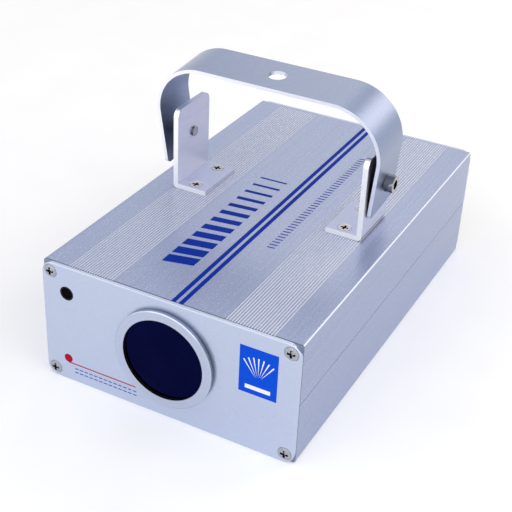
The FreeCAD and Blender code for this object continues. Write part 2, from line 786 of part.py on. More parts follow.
def bracket(name, side):
    """An angle bracket screwed to the top, its foot pointing inwards."""
    body = new_body(name)
    way = "anticlockwise" if side > 0 else "clockwise"
    outer = UPRIGHT_X
    inner = f"({UPRIGHT_X} - bracket_thickness)"
    foot_end = f"({UPRIGHT_X} - bracket_foot)"
    top = "case_height + bracket_height"
    foot_top = "case_height + bracket_thickness"
    profile = new_sketch(body, f"{name}_profile", "XZ_Plane", f"-({BRACKET_Y} + bracket_depth / 2)")
    outline(profile, [
        (f"{side} * {foot_end}", "case_height"),
        (f"{side} * ({outer} - bracket_bend_radius)", "case_height", "bracket_bend_radius", way),
        (f"{side} * {outer}", "case_height + bracket_bend_radius"),
        (f"{side} * {outer}", top), (f"{side} * {inner}", top),
        (f"{side} * {inner}", foot_top), (f"{side} * {foot_end}", foot_top),
    ])
    angle = pad(body, profile, "bracket_depth")
    summit = amount(top)
    corners = edges_along(angle, X_AXIS, lambda middle: abs(middle.z - summit) < 1e-3)
    fillet(body, angle, corners, "bracket_corner_radius")
    bore = new_sketch(body, f"{name}_bore", "YZ_Plane", f"{side} * {outer}")
    circle(bore, (BRACKET_Y, PIVOT_Z), "bolt_diameter + 2 * thread_clearance")
    pocket(body, bore, "bracket_thickness", reverse=side < 0)
    holes = new_sketch(body, f"{name}_holes", "XY_Plane", foot_top)
    for end in (-1, 1):
        spot = (f"{side} * {FOOT_SCREW_X}", f"{BRACKET_Y} + {end} * bracket_screw_spacing / 2")
        circle(holes, spot, BORE_DIAMETER)
    countersunk_holes(body, holes)
    return node(body, name)


def bracket_screws():
    screw = countersunk_screw("bracket_screw", "bracket_thickness + case_wall")
    positions = [(x, y, "case_height + bracket_thickness") for x, y in bracket_screw_places()]
    node(copies("bracket_screws", screw, positions), "bracket_screws")


def handle():
    """A flat strap bent to a U whose legs lean inwards, drawn about its pivot axis and shifted along it."""
    body = new_body("handle")
    inner_radius = "(strap_bend_radius - strap_thickness)"

    def half(side, radius, way):
        """Points from the top's middle to the foot of one leg."""
        end_x = f"({BEND_X} + {radius} * cos(leg_lean))"
        end_z = f"({BEND_Z} - {radius} * sin(leg_lean))"
        foot_x = f"({end_x} - ({end_z} + leg_drop) * tan(leg_lean))"
        return [
            (f"{side} * {BEND_X}", f"{BEND_Z} + {radius}", radius, way),
            (f"{side} * {end_x}", end_z),
            (f"{side} * {foot_x}", "-leg_drop"),
        ]

    def inward(points, radius, way):
        """The same points walked from the foot to the top."""
        top, bend_end, foot = points
        return [foot, (*bend_end, radius, way), top[:2]]

    right_outside = half(1, "strap_bend_radius", "clockwise")
    right_inside = inward(half(1, inner_radius, "clockwise"), inner_radius, "anticlockwise")
    left_inside = half(-1, inner_radius, "anticlockwise")
    left_outside = inward(half(-1, "strap_bend_radius", "clockwise"), "strap_bend_radius", "clockwise")
    profile = new_sketch(body, "handle_profile", "XZ_Plane", "-handle_width / 2")
    outline(profile, right_outside + right_inside + left_inside + left_outside)
    strap = pad(body, profile, "handle_width")
    foot = amount("leg_drop")
    corners = edges_along_leg_ends(strap, foot)
    fillet(body, strap, corners, "leg_corner_radius")
    hook_hole = new_sketch(body, "handle_hook_hole", "XY_Plane", "handle_rise")
    pocket(body, circle(hook_hole, ("0", "0"), "handle_hole"), "2 * strap_thickness")
    pivots = new_sketch(body, "handle_pivots", "YZ_Plane", HALF_SPAN)
    pocket(body, circle(pivots, ("0", "0"), "bolt_diameter + 2 * fit_clearance"))
    place(body, ("-handle_shift", BRACKET_Y, PIVOT_Z), FreeCAD.Rotation(X_AXIS, SIZES["handle_tilt"]))
    bind(body, **{"Placement.Rotation.Angle": "handle_tilt"})
    return node(body, "handle")


def edges_along_leg_ends(strap, foot):
    """The short edges across the strap's thickness at the end of each leg."""
    doc.recompute()
    names = []
    for index, edge in enumerate(strap.Shape.Edges, start=1):
        across = edge.BoundBox.YLength < 1e-6
        if across and abs(edge.BoundBox.ZMax + foot) < 1e-6:
            names.append(f"Edge{index}")
    return names


def pivot_bolts():
    """Cap-head bolts through the strap's legs into the brackets, the left one longer by twice the shift."""
    head_seat = f"({LEG_X} + bolt_head_diameter / 2 * tan(leg_lean) + fit_clearance)"
    bolts = []
    for name, side, turn in (("left_bolt", -1, TO_LEFT), ("right_bolt", 1, TO_RIGHT)):
        seat = f"({head_seat} - {side} * handle_shift)"
        shank_length = f"({seat} - {UPRIGHT_X} + bracket_thickness + bolt_tip)"
        head = rod(f"{name}_head", "bolt_head_diameter", "bolt_head_height", ("0", "0", "0"))
        shank = rod(f"{name}_shank", "bolt_diameter", shank_length, ("0", "0", f"-{shank_length}"))
        socket = hexagon(f"{name}_socket", "bolt_socket", "bolt_socket_depth",
                         ("0", "0", "bolt_head_height - bolt_socket_depth"))
        bolt = cut(f"{name}_solid", joined(f"{name}_blank", [head, shank]), [socket])
        bolts.append(place(group(name, [bolt]), (f"{side} * {seat}", BRACKET_Y, PIVOT_Z), turn))
    node(group("pivot_bolts", bolts), "pivot_bolts")


# Chassis, laser and scanners


def chassis():
    size = (f"2 * {PLATE_HALF_WIDTH}", f"{PLATE_REAR} - {PLATE_FRONT}", "plate_thickness")
    plate = block("chassis_blank", size, (f"-{PLATE_HALF_WIDTH}", PLATE_FRONT, "case_wall"))
    holes = [rod(f"chassis_hole_{index}", BORE_DIAMETER, "plate_thickness", (x, y, "case_wall"))
             for index, (x, y) in enumerate(plate_screw_places())]
    node(cut("chassis_plate", plate, holes), "chassis_plate")
    screw = countersunk_screw("chassis_screw", "case_wall + plate_thickness")
    positions = [(x, y, "0") for x, y in plate_screw_places()]
    node(copies("chassis_screws", screw, positions, TO_BELOW), "chassis_screws")


def laser():
    bottom = f"({BEAM_Z} - laser_height / 2)"
    sink_size = ("laser_width + 2 * sink_margin", LASER_LENGTH, f"{bottom} - {DECK}")
    sink_corner = (f"{LASER_X} - laser_width / 2 - sink_margin", LASER_FRONT, DECK)
    node(block("laser_heatsink", sink_size, sink_corner), "laser_heatsink")
    head = block("laser_blank", ("laser_width", LASER_LENGTH, "laser_height"),
                 (f"{LASER_X} - laser_width / 2", LASER_FRONT, bottom))
    exit_hole = rod("laser_exit", "nozzle_bore", "nozzle_length", (LASER_X, LASER_FRONT, BEAM_Z), TO_REAR)
    node(cut("laser_head", head, [exit_hole]), "laser_head")
    nozzle = ring("laser_nozzle", "nozzle_diameter", "nozzle_bore", "nozzle_length",
                  (LASER_X, LASER_FRONT, BEAM_Z), TO_FRONT)
    node(nozzle, "laser_nozzle")


def fold_mirror():
    """A mirror at 45 degrees that sends the beam from the laser across to the scanners."""
    turn = FreeCAD.Rotation(Z_AXIS, -45)
    half = "fold_mirror_size / 2"
    low = f"{BEAM_Z} - {half}"
    glass = block("fold_glass_blank", ("fold_mirror_size", "fold_mirror_thickness", "fold_mirror_size"),
                  (f"-{half}", "-fold_mirror_thickness", "0"))
    node(place(group("fold_mirror", [glass]), (LASER_X, SCAN_Y, low), turn), "fold_mirror")
    mount_size = ("fold_mirror_size", "fold_mount_thickness", f"{BEAM_Z} + {half} - {DECK}")
    mount_corner = (f"-{half}", "-fold_mirror_thickness - fold_mount_thickness", "0")
    mount = block("fold_mount_blank", mount_size, mount_corner)
    node(place(group("fold_mirror_mount", [mount]), (LASER_X, SCAN_Y, DECK), turn), "fold_mirror_mount")


def scanner(name, height, turn):
    """A scanner's motor, shaft and mirror, drawn along its own Z with the mirror's centre at its origin."""
    centre = ("0", SCAN_Y, height)
    motor = rod(f"{name}_can", "motor_diameter", "motor_length", ("0", "0", MOTOR_START))
    bearing = rod(f"{name}_bearing", "scan_shaft + 2 * thread_clearance", "motor_length / 2",
                  ("0", "0", MOTOR_START))
    can = cut(f"{name}_body", motor, [bearing])
    node(place(group(f"{name}_galvo_motor", [can]), centre, turn), f"{name}_galvo_motor")
    shaft = rod(f"{name}_axle", "scan_shaft", "motor_gap + motor_length / 2 - thread_clearance",
                ("0", "0", "mirror_length / 2"))
    node(place(group(f"{name}_galvo_shaft", [shaft]), centre, turn), f"{name}_galvo_shaft")
    return centre


def scanners():
    mirror_size = ("mirror_width", "mirror_thickness", "mirror_length")
    mirror = centred_block("scan_mirror", mirror_size, ("0", "0", "0"))
    turns = {"x": (BEAM_Z, TO_REAR, -45), "y": (MID_HEIGHT, TO_RIGHT, 45)}
    for name, (height, turn, facing) in turns.items():
        centre = scanner(name, height, turn)
        mirror_turn = turn * FreeCAD.Rotation(Z_AXIS, facing)
        node(place(group(f"{name}_galvo_mirror", [mirror]), centre, mirror_turn), f"{name}_galvo_mirror")
    motor_bore = "motor_diameter + 2 * fit_clearance"
    half = "(motor_diameter / 2 + block_wall)"
    x_hold = f"({MOTOR_START} + (motor_length - block_depth) / 2)"
    rear_wall = block("galvo_rear_wall", (f"2 * {half}", "block_depth", f"{BEAM_Z} + {half} - {DECK}"),
                      (f"-{half}", f"{SCAN_Y} + {x_hold}", DECK))
    side_wall = block("galvo_side_wall", ("block_depth", f"2 * {half}", f"{MID_HEIGHT} + {half} - {DECK}"),
                      (x_hold, f"{SCAN_Y} - {half}", DECK))
    foot_length = f"{half} + {x_hold} + block_depth"
    foot = block("galvo_foot", (foot_length, foot_length, "block_wall"),
                 (f"-{half}", f"{SCAN_Y} - {half}", DECK))
    rear_bore = rod("galvo_rear_bore", motor_bore, "2 * motor_length", ("0", SCAN_Y, BEAM_Z), TO_REAR)
    side_bore = rod("galvo_side_bore", motor_bore, "2 * motor_length", ("0", SCAN_Y, MID_HEIGHT), TO_RIGHT)
    solid = joined("galvo_solid", [rear_wall, side_wall, foot])
    node(cut("galvo_block", solid, [rear_bore, side_bore]), "galvo_block")


# Circuit boards

BOARDS = {
    "control_board": (RIGHT_BOARD_X, CONTROL_FRONT, "control_board_length"),
    "power_supply_board": (RIGHT_BOARD_X, SUPPLY_FRONT, "supply_board_length"),
    "laser_driver_board": (f"(-{RIGHT_BOARD_X})", DRIVER_FRONT, "driver_board_length"),
}


def board_hole_places(x, front, length):
    return [(f"{x} + {side} * ({BOARD_WIDTH} / 2 - board_hole_inset)", y)
            for side in (-1, 1)
            for y in (f"{front} + board_hole_inset", f"{front} + {length} - board_hole_inset")]


def boards():
    hole_places = []
    hole = "small_screw + 2 * thread_clearance"
    for name, (x, front, length) in BOARDS.items():
        spots = board_hole_places(x, front, length)
        blank = block(f"{name}_blank", (BOARD_WIDTH, length, "board_thickness"),
                      (f"{x} - {BOARD_WIDTH} / 2", front, BOARD_BOTTOM))
        holes = [rod(f"{name}_hole_{index}", hole, "board_thickness", (*spot, BOARD_BOTTOM))
                 for index, spot in enumerate(spots)]
        node(cut(name, blank, holes), name)
        hole_places += spots
    standoff = ring("standoff", "standoff_diameter", hole, "standoff_height", ("0", "0", "0"))
    node(copies("board_standoffs", standoff, [(*spot, DECK) for spot in hole_places]), "board_standoffs")
    screw = pan_screw("board_screw", "small_screw", "small_head_diameter", "small_head_height",
                      "small_screw_length")
    node(copies("board_screws", screw, [(*spot, BOARD_TOP) for spot in hole_places]), "board_screws")


def board_parts():
    """Chips and connectors on the control and driver boards, transformer and capacitors on the supply."""
    step = "(chip_width + chip_spacing)"
    for name, count in (("control_board", 3), ("laser_driver_board", 1)):
        x, front, length = BOARDS[name]
        chip_size = ("chip_length", "chip_width", "chip_height")
        chip = block(f"{name}_chip", chip_size, ("-chip_length / 2", "0", "0"))
        start = f"{front} + {length} / 2 - {count} * {step} / 2 + chip_spacing / 2"
        positions = [(x, f"{start} + {index} * {step}", BOARD_TOP) for index in range(count)]
        node(copies(f"{name}_parts", chip, positions), f"{name}_parts")
    x, front, length = BOARDS["power_supply_board"]
    middle = f"{front} + {length} / 2"
    core = ("transformer_size", "transformer_size", "transformer_height")
    corner = (f"{x} - transformer_size + parts_margin / 2", f"{middle} - transformer_size / 2", BOARD_TOP)
    transformer = block("transformer", core, corner)
    row_x = f"{x} + parts_margin + capacitor_diameter / 2"
    half_gap = "(capacitor_diameter + capacitor_gap) / 2"
    capacitors = [rod(f"capacitor_{side + 1}", "capacitor_diameter", "capacitor_height",
                      (row_x, f"{middle} + {side} * {half_gap}", BOARD_TOP))
                  for side in (-1, 1)]
    node(group("power_supply_parts", [transformer, *capacitors]), "power_supply_parts")


# Cooling fan


def fan_hole_places():
    half = "fan_hole_spacing / 2"
    return [(f"{FAN_X} + {side} * {half}", f"{MID_HEIGHT} + {level} * {half}")
            for side in (-1, 1) for level in (-1, 1)]


def fan():
    centre = (FAN_X, FAN_FRONT, MID_HEIGHT)
    frame = centred_block("fan_blank", ("fan_size", "fan_depth", "fan_size"),
                          (FAN_X, f"{FAN_FRONT} + fan_depth / 2", MID_HEIGHT))
    bore = rod("fan_frame_bore", "fan_bore", "fan_depth", centre, TO_REAR)
    holes = [rod(f"fan_hole_{index}", BORE_DIAMETER, "fan_depth", (x, FAN_FRONT, z), TO_REAR)
             for index, (x, z) in enumerate(fan_hole_places())]
    hub = rod("fan_hub_plate", "fan_hub_diameter", "fan_rib_depth", centre, TO_REAR)
    rib = centred_block("fan_rib", ("fan_bore + fan_tip_gap", "fan_rib_depth", "fan_rib_width"),
                        (FAN_X, f"{FAN_FRONT} + fan_rib_depth / 2", MID_HEIGHT))
    upright = centred_block("fan_upright", ("fan_rib_width", "fan_rib_depth", "fan_bore + fan_tip_gap"),
                            (FAN_X, f"{FAN_FRONT} + fan_rib_depth / 2", MID_HEIGHT))
    bearing = rod("fan_bearing", "fan_shaft + 2 * thread_clearance", "fan_rib_depth", centre, TO_REAR)
    open_frame = cut("fan_open_frame", frame, [bore, *holes])
    node(cut("fan_frame", joined("fan_spider", [open_frame, hub, rib, upright]), [bearing]), "fan_frame")


def fan_rotor():
    """Hub, shaft and pitched blades, drawn along its own Z."""
    blades = SIZES["fan_blade_count"]
    start = "(fan_rib_depth + fan_end_gap)"
    hub_depth = "(fan_depth - fan_rib_depth - 2 * fan_end_gap)"
    hub = rod("rotor_hub", "fan_hub_diameter", hub_depth, ("0", "0", start))
    shaft = rod("rotor_shaft", "fan_shaft", f"{start} + {hub_depth} / 2", ("0", "0", "0"))
    reach = "(fan_bore / 2 - fan_tip_gap)"
    root = "(fan_hub_diameter / 2 - fan_blade_root)"
    pitch = "fan_blade_pitch"
    half_chord = "fan_blade_chord / 2"
    half_thick = "fan_blade_thickness / 2"
    span = f"sqrt({reach} ^ 2 - ({half_chord}) ^ 2) - {root}"
    blade = doc.addObject("Part::Box", "rotor_blade")
    bind(blade, Length=span, Width="fan_blade_chord", Height="fan_blade_thickness")
    place(blade, (root, f"-({half_chord}) * cos({pitch}) + {half_thick} * sin({pitch})",
                  f"{start} + {hub_depth} / 2 - {half_chord} * sin({pitch}) - {half_thick} * cos({pitch})"),
          FreeCAD.Rotation(X_AXIS, SIZES["fan_blade_pitch"]))
    bind(blade, **{"Placement.Rotation.Angle": pitch})
    step = 360 / blades
    fins = [place(group(f"rotor_fin_{index}", [blade]), ("0", "0", "0"),
                  FreeCAD.Rotation(Z_AXIS, index * step))
            for index in range(blades)]
    rotor = joined("rotor_solid", [hub, shaft, *fins])
    node(place(group("fan_rotor", [rotor]), (FAN_X, FAN_FRONT, MID_HEIGHT), TO_REAR), "fan_rotor")


def fan_guard():
    """Wire rings and two wire bars, with an eye at each screw, drawn along its own Z."""
    half = "fan_hole_spacing / 2"
    eye_radius = "((screw_diameter + guard_wire) / 2 + fit_clearance)"

    def wire_ring(name, radius, centre):
        torus = doc.addObject("Part::Torus", name)
        bind(torus, Radius1=radius, Radius2="guard_wire / 2")
        return place(torus, centre)

    wires = [wire_ring(f"guard_ring_{index}", f"{index} * guard_ring_spacing", ("0", "0", "0"))
             for index in range(1, SIZES["guard_ring_count"] + 1)]
    for side in (-1, 1):
        bar = f"({half} * sqrt(2) - {eye_radius})"
        tilt = FreeCAD.Rotation(Z_AXIS, 45 * side) * TO_RIGHT
        wires.append(rod(f"guard_bar_{side + 1}", "guard_wire", f"2 * {bar}",
                         (f"-{bar} * cos(45)", f"{-side} * {bar} * sin(45)", "0"), tilt))
        for level in (-1, 1):
            eye = (f"{side} * {half}", f"{level} * {half}", "0")
            wires.append(wire_ring(f"guard_eye_{side + 1}_{level + 1}", eye_radius, eye))
    guard = group("fan_guard", [joined("guard_solid", wires)])
    place(guard, (FAN_X, f"{REAR_FACE} + guard_wire / 2", MID_HEIGHT), TO_REAR)
    node(guard, "fan_guard")


def fan_fixings():
    grip = "(guard_wire + panel_thickness + fan_depth)"
    screw = pan_screw("fan_screw", "screw_diameter", "screw_head_diameter", "small_head_height",
                      f"{grip} + nut_depth + screw_tail")
    positions = [(x, f"{REAR_FACE} + guard_wire", z) for x, z in fan_hole_places()]
    node(copies("fan_screws", screw, positions, TO_REAR), "fan_screws")
    nut = cut("fan_nut", hexagon("fan_nut_blank", "nut_width", "nut_depth", ("0", "0", "0")),
              [rod("fan_nut_bore", BORE_DIAMETER, "nut_depth", ("0", "0", "0"))])
    node(copies("fan_nuts", nut, [(x, FAN_FRONT, z) for x, z in fan_hole_places()], TO_FRONT), "fan_nuts")


# Rear controls


def inlet_screw_places():
    return [f"{INLET_X} + {side} * inlet_screw_spacing / 2" for side in (-1, 1)]


def power_inlet():
    """A panel inlet with a flange outside and a hollow body inside, open to the rear."""
    flange_size = ("inlet_flange_width", "inlet_flange_depth", "inlet_flange_height")
    flange = centred_block("inlet_flange", flange_size,
                           (INLET_X, f"{REAR_FACE} + inlet_flange_depth / 2", "inlet_from_bottom"))
    full_depth = "(inlet_body_depth + panel_thickness)"
    housing = centred_block("inlet_housing", ("inlet_body_width", full_depth, "inlet_body_height"),
                            (INLET_X, f"{REAR_FACE} - {full_depth} / 2", "inlet_from_bottom"))
    hollow_depth = f"({full_depth} + inlet_flange_depth - inlet_floor)"
    hollow_size = ("inlet_body_width - 2 * inlet_wall", hollow_depth, "inlet_body_height - 2 * inlet_wall")
    hollow_y = f"{REAR_FACE} + inlet_flange_depth - {hollow_depth} / 2"
    hollow = centred_block("inlet_hollow", hollow_size, (INLET_X, hollow_y, "inlet_from_bottom"))
    screw_holes = [rod(f"inlet_hole_{index}", "small_screw + 2 * thread_clearance", "inlet_flange_depth",
                       (x, REAR_FACE, "inlet_from_bottom"), TO_REAR)
                   for index, x in enumerate(inlet_screw_places())]
    slots = [inlet_pin(f"inlet_slot_{index}", shift, "0") for index, shift in enumerate(PIN_SHIFTS)]
    solid = joined("inlet_solid", [flange, housing])
    node(cut("power_inlet", solid, [hollow, *screw_holes, *slots]), "power_inlet")
    pins = [inlet_pin(f"inlet_pin_{index}", shift, "thread_clearance")
            for index, shift in enumerate(PIN_SHIFTS)]
    node(group("inlet_pins", pins), "inlet_pins")
    screw = pan_screw("inlet_screw", "small_screw", "small_head_diameter", "small_head_height",
                      "inlet_flange_depth + panel_thickness + screw_tail")
    positions = [(x, f"{REAR_FACE} + inlet_flange_depth", "inlet_from_bottom") for x in inlet_screw_places()]
    node(copies("inlet_screws", screw, positions, TO_REAR), "inlet_screws")


PIN_SHIFTS = (("-pin_pitch", "-pin_offset"), ("0", "pin_offset"), ("pin_pitch", "-pin_offset"))


def inlet_pin(name, shift, slack):
    """A flat pin that starts inside the inlet's floor and stands in its hollow."""
    start = f"({REAR_FACE} - inlet_body_depth - panel_thickness)"
    size = (f"pin_width - 2 * {slack}", "inlet_floor + pin_length", f"pin_height - 2 * {slack}")
    return centred_block(name, size, (f"{INLET_X} + {shift[0]}", f"{start} + (inlet_floor + pin_length) / 2",
                                      f"inlet_from_bottom + {shift[1]}"))


def power_switch():
    """A rocker switch: a framed housing and a rocker on a short pin along Z."""
    bezel = centred_block("switch_bezel", ("switch_width", "switch_bezel_depth", "switch_height"),
                          (SWITCH_X, f"{REAR_FACE} + switch_bezel_depth / 2", CONTROL_Z))
    can = centred_block("switch_can", (SWITCH_BODY_WIDTH, "switch_body_depth", SWITCH_BODY_HEIGHT),
                        (SWITCH_X, f"{REAR_FACE} - switch_body_depth / 2", CONTROL_Z))
    well_width = f"({SWITCH_BODY_WIDTH} - 2 * switch_wall)"
    well_height = f"({SWITCH_BODY_HEIGHT} - 2 * switch_wall)"
    half = f"({well_width} / 2 - rocker_gap)"
    stop_depth = f"({half} * sin(rocker_throw) + rocker_depth * cos(rocker_throw) + fit_clearance)"
    well_depth = f"(switch_bezel_depth + {stop_depth})"
    well = centred_block("switch_well", (well_width, well_depth, well_height),
                         (SWITCH_X, f"{REAR_FACE} + switch_bezel_depth - {well_depth} / 2", CONTROL_Z))
    pin_length = f"({well_height} + switch_wall)"
    hole_length = f"({pin_length} + 2 * thread_clearance)"
    pin_hole = rod("switch_pin_hole", "rocker_pin + 2 * thread_clearance", hole_length,
                   (SWITCH_X, REAR_FACE, f"{CONTROL_Z} - {hole_length} / 2"))
    node(cut("switch_housing", joined("switch_solid", [bezel, can]), [well, pin_hole]), "switch_housing")
    body = new_body("switch_rocker")
    width = f"({well_height} - 2 * rocker_side_gap)"
    profile = new_sketch(body, "rocker_profile", "XY_Plane", f"-{width} / 2")
    outline(profile, [(f"-{half}", "-rocker_depth"), (half, "-rocker_depth"), (half, "rocker_rise"),
                      ("0", "rocker_dip"), (f"-{half}", "rocker_rise")])
    pad(body, profile, width)
    pin = new_sketch(body, "rocker_pin_profile", "XY_Plane", f"-{pin_length} / 2")
    pad(body, circle(pin, ("0", "0"), "rocker_pin"), pin_length)
    place(body, (SWITCH_X, REAR_FACE, CONTROL_Z), FreeCAD.Rotation(Z_AXIS, SIZES["rocker_throw"]))
    bind(body, **{"Placement.Rotation.Angle": "rocker_throw"})
    node(body, "switch_rocker")


def knobs():
    nut_blank = hexagon("pot_nut_blank", "pot_nut_width", "pot_nut_depth", ("0", "0", "0"))
    nut_bore = rod("pot_nut_bore", "pot_bushing + 2 * thread_clearance", "pot_nut_depth", ("0", "0", "0"))
    nut = cut("pot_nut", nut_blank, [nut_bore])
    positions = [(x, REAR_FACE, CONTROL_Z) for x in KNOB_XS.values()]
    node(copies("pot_nuts", nut, positions, TO_REAR), "pot_nuts")
    for name, x in KNOB_XS.items():
        potentiometer(name, x)


def potentiometer(name, x):
    """A panel potentiometer with its bushing, shaft and knob."""
    bushing_reach = "(panel_thickness + pot_bushing_length)"
    can_front = f"{REAR_INNER} - pot_depth"
    can = rod(f"{name}_can", "pot_diameter", "pot_depth", (x, can_front, CONTROL_Z), TO_REAR)
    bushing = rod(f"{name}_bushing", "pot_bushing", bushing_reach, (x, REAR_INNER, CONTROL_Z), TO_REAR)
    bore = rod(f"{name}_bore", "pot_shaft + 2 * thread_clearance", f"pot_depth / 2 + {bushing_reach}",
               (x, f"{REAR_INNER} - pot_depth / 2", CONTROL_Z), TO_REAR)
    node(cut(f"{name}_pot", joined(f"{name}_pot_solid", [can, bushing]), [bore]), f"{name}_pot")
    knob_start = "(pot_bushing_length + knob_gap)"
    knob_end = f"({knob_start} + knob_height)"
    shaft_end = f"({knob_start} + knob_height / 2)"
    shaft_length = f"(pot_depth / 2 - thread_clearance + panel_thickness + {shaft_end})"
    node(rod(f"{name}_shaft", "pot_shaft", shaft_length,
             (x, f"{REAR_INNER} - pot_depth / 2 + thread_clearance", CONTROL_Z), TO_REAR), f"{name}_shaft")
    rim = "knob_diameter / 2"
    seat = "pot_shaft / 2"
    skirt = "pot_nut_depth + knob_gap"
    well = "(pot_bushing / 2 + knob_gap)"
    turned_piece(f"{name}_knob", [
        (seat, knob_start), (well, knob_start), (well, skirt), (rim, skirt),
        (rim, f"{knob_end} - knob_chamfer"), (f"{rim} - knob_chamfer", knob_end),
        ("0", knob_end), ("0", shaft_end), (seat, shaft_end),
    ], (x, REAR_FACE, CONTROL_Z), TO_REAR)


shell("top_shell", upper=True)
shell("bottom_shell", upper=False)
front_panel()
rear_panel()
panel_screws()
window()
microphone()
bracket("left_bracket", -1)
bracket("right_bracket", 1)
bracket_screws()
handle()
pivot_bolts()
chassis()
laser()
fold_mirror()
scanners()
boards()
board_parts()
fan()
fan_rotor()
fan_guard()
fan_fixings()
power_inlet()
power_switch()
knobs()
doc.recompute()

for thing in doc.Objects:
    if "Invalid" in thing.State or "Error" in thing.State:
        raise RuntimeError(f"{thing.Name} failed: {thing.State}")
for thing in nodes:
    if thing.Shape.isNull() or not thing.Shape.isValid() or not thing.Shape.Solids:
        raise RuntimeError(f"{thing.Label} has no valid solid")

os.makedirs("parts", exist_ok=True)
for thing in nodes:
    solids = thing.Shape.Solids
    shape = solids[0] if len(solids) == 1 else Part.makeCompound(solids)
    shape.exportStep(os.path.join("parts", f"{thing.Label}.step"))
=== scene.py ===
import json
import math

import bmesh
import bpy
from mathutils import Matrix, Vector


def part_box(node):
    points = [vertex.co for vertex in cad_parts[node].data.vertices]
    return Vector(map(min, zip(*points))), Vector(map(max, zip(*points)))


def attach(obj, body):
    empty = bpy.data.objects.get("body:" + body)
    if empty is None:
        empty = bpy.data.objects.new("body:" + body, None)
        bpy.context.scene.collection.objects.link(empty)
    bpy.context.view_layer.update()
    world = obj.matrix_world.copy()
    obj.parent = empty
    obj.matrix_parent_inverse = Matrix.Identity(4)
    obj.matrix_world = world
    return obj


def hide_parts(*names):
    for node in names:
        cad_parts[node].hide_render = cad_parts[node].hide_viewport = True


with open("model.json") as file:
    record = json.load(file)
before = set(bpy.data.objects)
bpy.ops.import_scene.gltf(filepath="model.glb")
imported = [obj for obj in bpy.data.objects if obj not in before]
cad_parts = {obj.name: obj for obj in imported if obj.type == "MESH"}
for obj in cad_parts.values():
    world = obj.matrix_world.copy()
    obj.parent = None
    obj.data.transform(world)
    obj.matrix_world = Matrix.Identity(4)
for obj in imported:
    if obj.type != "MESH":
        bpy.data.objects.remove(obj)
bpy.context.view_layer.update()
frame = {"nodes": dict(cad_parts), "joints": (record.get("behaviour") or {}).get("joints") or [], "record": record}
nodes = frame["nodes"]
joint_of = {joint["child"]: joint for joint in frame["joints"]}
scene = bpy.context.scene

MM = 0.001


def box_in_mm(node):
    """Lowest and highest corner of a CAD node, in millimetres."""
    return [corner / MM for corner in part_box(node)]


def pivot_in_mm(body):
    """The point that a moving body turns about, in millimetres."""
    return Vector(joint_of[body]["pos_m"]) / MM


# Places on the case that carry marks, taken from the frame, in millimetres
SHELL_LOW, SHELL_HIGH = box_in_mm("top_shell")
CASE_TOP = SHELL_HIGH.z
SEAM_HEIGHT = SHELL_LOW.z
SHELL_FRONT = SHELL_LOW.y
SHELL_LENGTH = SHELL_HIGH.y - SHELL_LOW.y
FRONT_FACE = box_in_mm("front_panel")[0].y
WINDOW_HEIGHT = sum(corner.z for corner in box_in_mm("lens_bezel")) / 2
KNOBS = ("sensitivity_knob", "speed_knob")

# Radius of the opening in the bezel, and how much farther out still counts as its inner wall
WINDOW_RADIUS = 23.4
INNER_WALL = 0.15

# Bands on the case, in millimetres: the grooves, measured down from the top, which are non-metallic and carry a
# painted highlight, and the seam between the shells and the joint behind the front panel, which carry painted
# shade
GROOVE_MIDDLE = 0.45
GROOVE_REACH = 0.25
SEAM_SHADE_REACH = 0.3
FRONT_JOINT_SHADE_REACH = 0.8

# How metallic the case is outside its grooves, and the share of die lines in its grain
CASE_METALLIC = 0.85
DIE_LINE_SHARE = 0.32

# Least shares of a face's direction at which it counts as cut to width, and as lying flat for the bracket foot's
# painted shade
CUT_FACING = 0.4
FLAT_FACING = 0.9

# Widths of the rings that the lathe leaves on the bezel and of the fields between tracks on the boards
LATHE_RING = 0.9
BOARD_FIELD = 6.0

# Thickness of a layer of ink, in millimetres
INK = 0.03

# Camera of the photograph, in millimetres: where it stands, the point it looks at, its roll in degrees, its
# lens and sensor, and the nearest distance that it shows
CAMERA_EYE = (239.79, -507.28, 374.79)
CAMERA_TARGET = (-13.02, 0.0, 29.84)
CAMERA_ROLL = 2.822
CAMERA_LENS = 77.64
CAMERA_SENSOR = 36.0
CAMERA_NEAREST = 10.0

# Sockets of a Mix node, which go by number because those for numbers, vectors and colours share their names
FACTOR = 0
NUMBER_A, NUMBER_B, NUMBER_OUT = 2, 3, 0
VECTOR_A, VECTOR_B, VECTOR_OUT = 4, 5, 1
COLOUR_A, COLOUR_B, COLOUR_OUT = 6, 7, 2

# A scale that changes nothing, a step or turn of nothing, and plain white
EVEN = (1, 1, 1)
STILL = (0, 0, 0)
WHITE = "#FFFFFF"


def linear(colour):
    """An sRGB hex colour as linear red, green, blue and alpha."""
    channels = [int(colour[start:start + 2], 16) / 255 for start in (1, 3, 5)]
    return (*[c / 12.92 if c <= 0.04045 else ((c + 0.055) / 1.055) ** 2.4 for c in channels], 1.0)


def per_mm(size):
    """The texture scale that makes one cell of a pattern this many millimetres."""
    return 1.0 / (size * MM)


def add(tree, kind, settings=None, links=None):
    """Add a node, set its properties and input values, and link sockets to its inputs."""
    node = tree.nodes.new(kind)
    for key, value in (settings or {}).items():
        if isinstance(key, str) and hasattr(node, key):
            setattr(node, key, value)
        else:
            node.inputs[key].default_value = value
    for key, socket in (links or {}).items():
        tree.links.new(socket, node.inputs[key])
    return node


# Patterns that the materials share


def new_material(name, metallic=0.0, constants=None):
    """A node material, its shader with its constant values, and the coordinates of the object it is on."""
    material = bpy.data.materials.new(name)
    material.use_nodes = True
    tree = material.node_tree
    shader = tree.nodes["Principled BSDF"]
    shader.inputs["Metallic"].default_value = metallic
    for socket, value in (constants or {}).items():
        shader.inputs[socket].default_value = value
    place = add(tree, "ShaderNodeTexCoord").outputs["Object"]
    return material, tree, shader, place


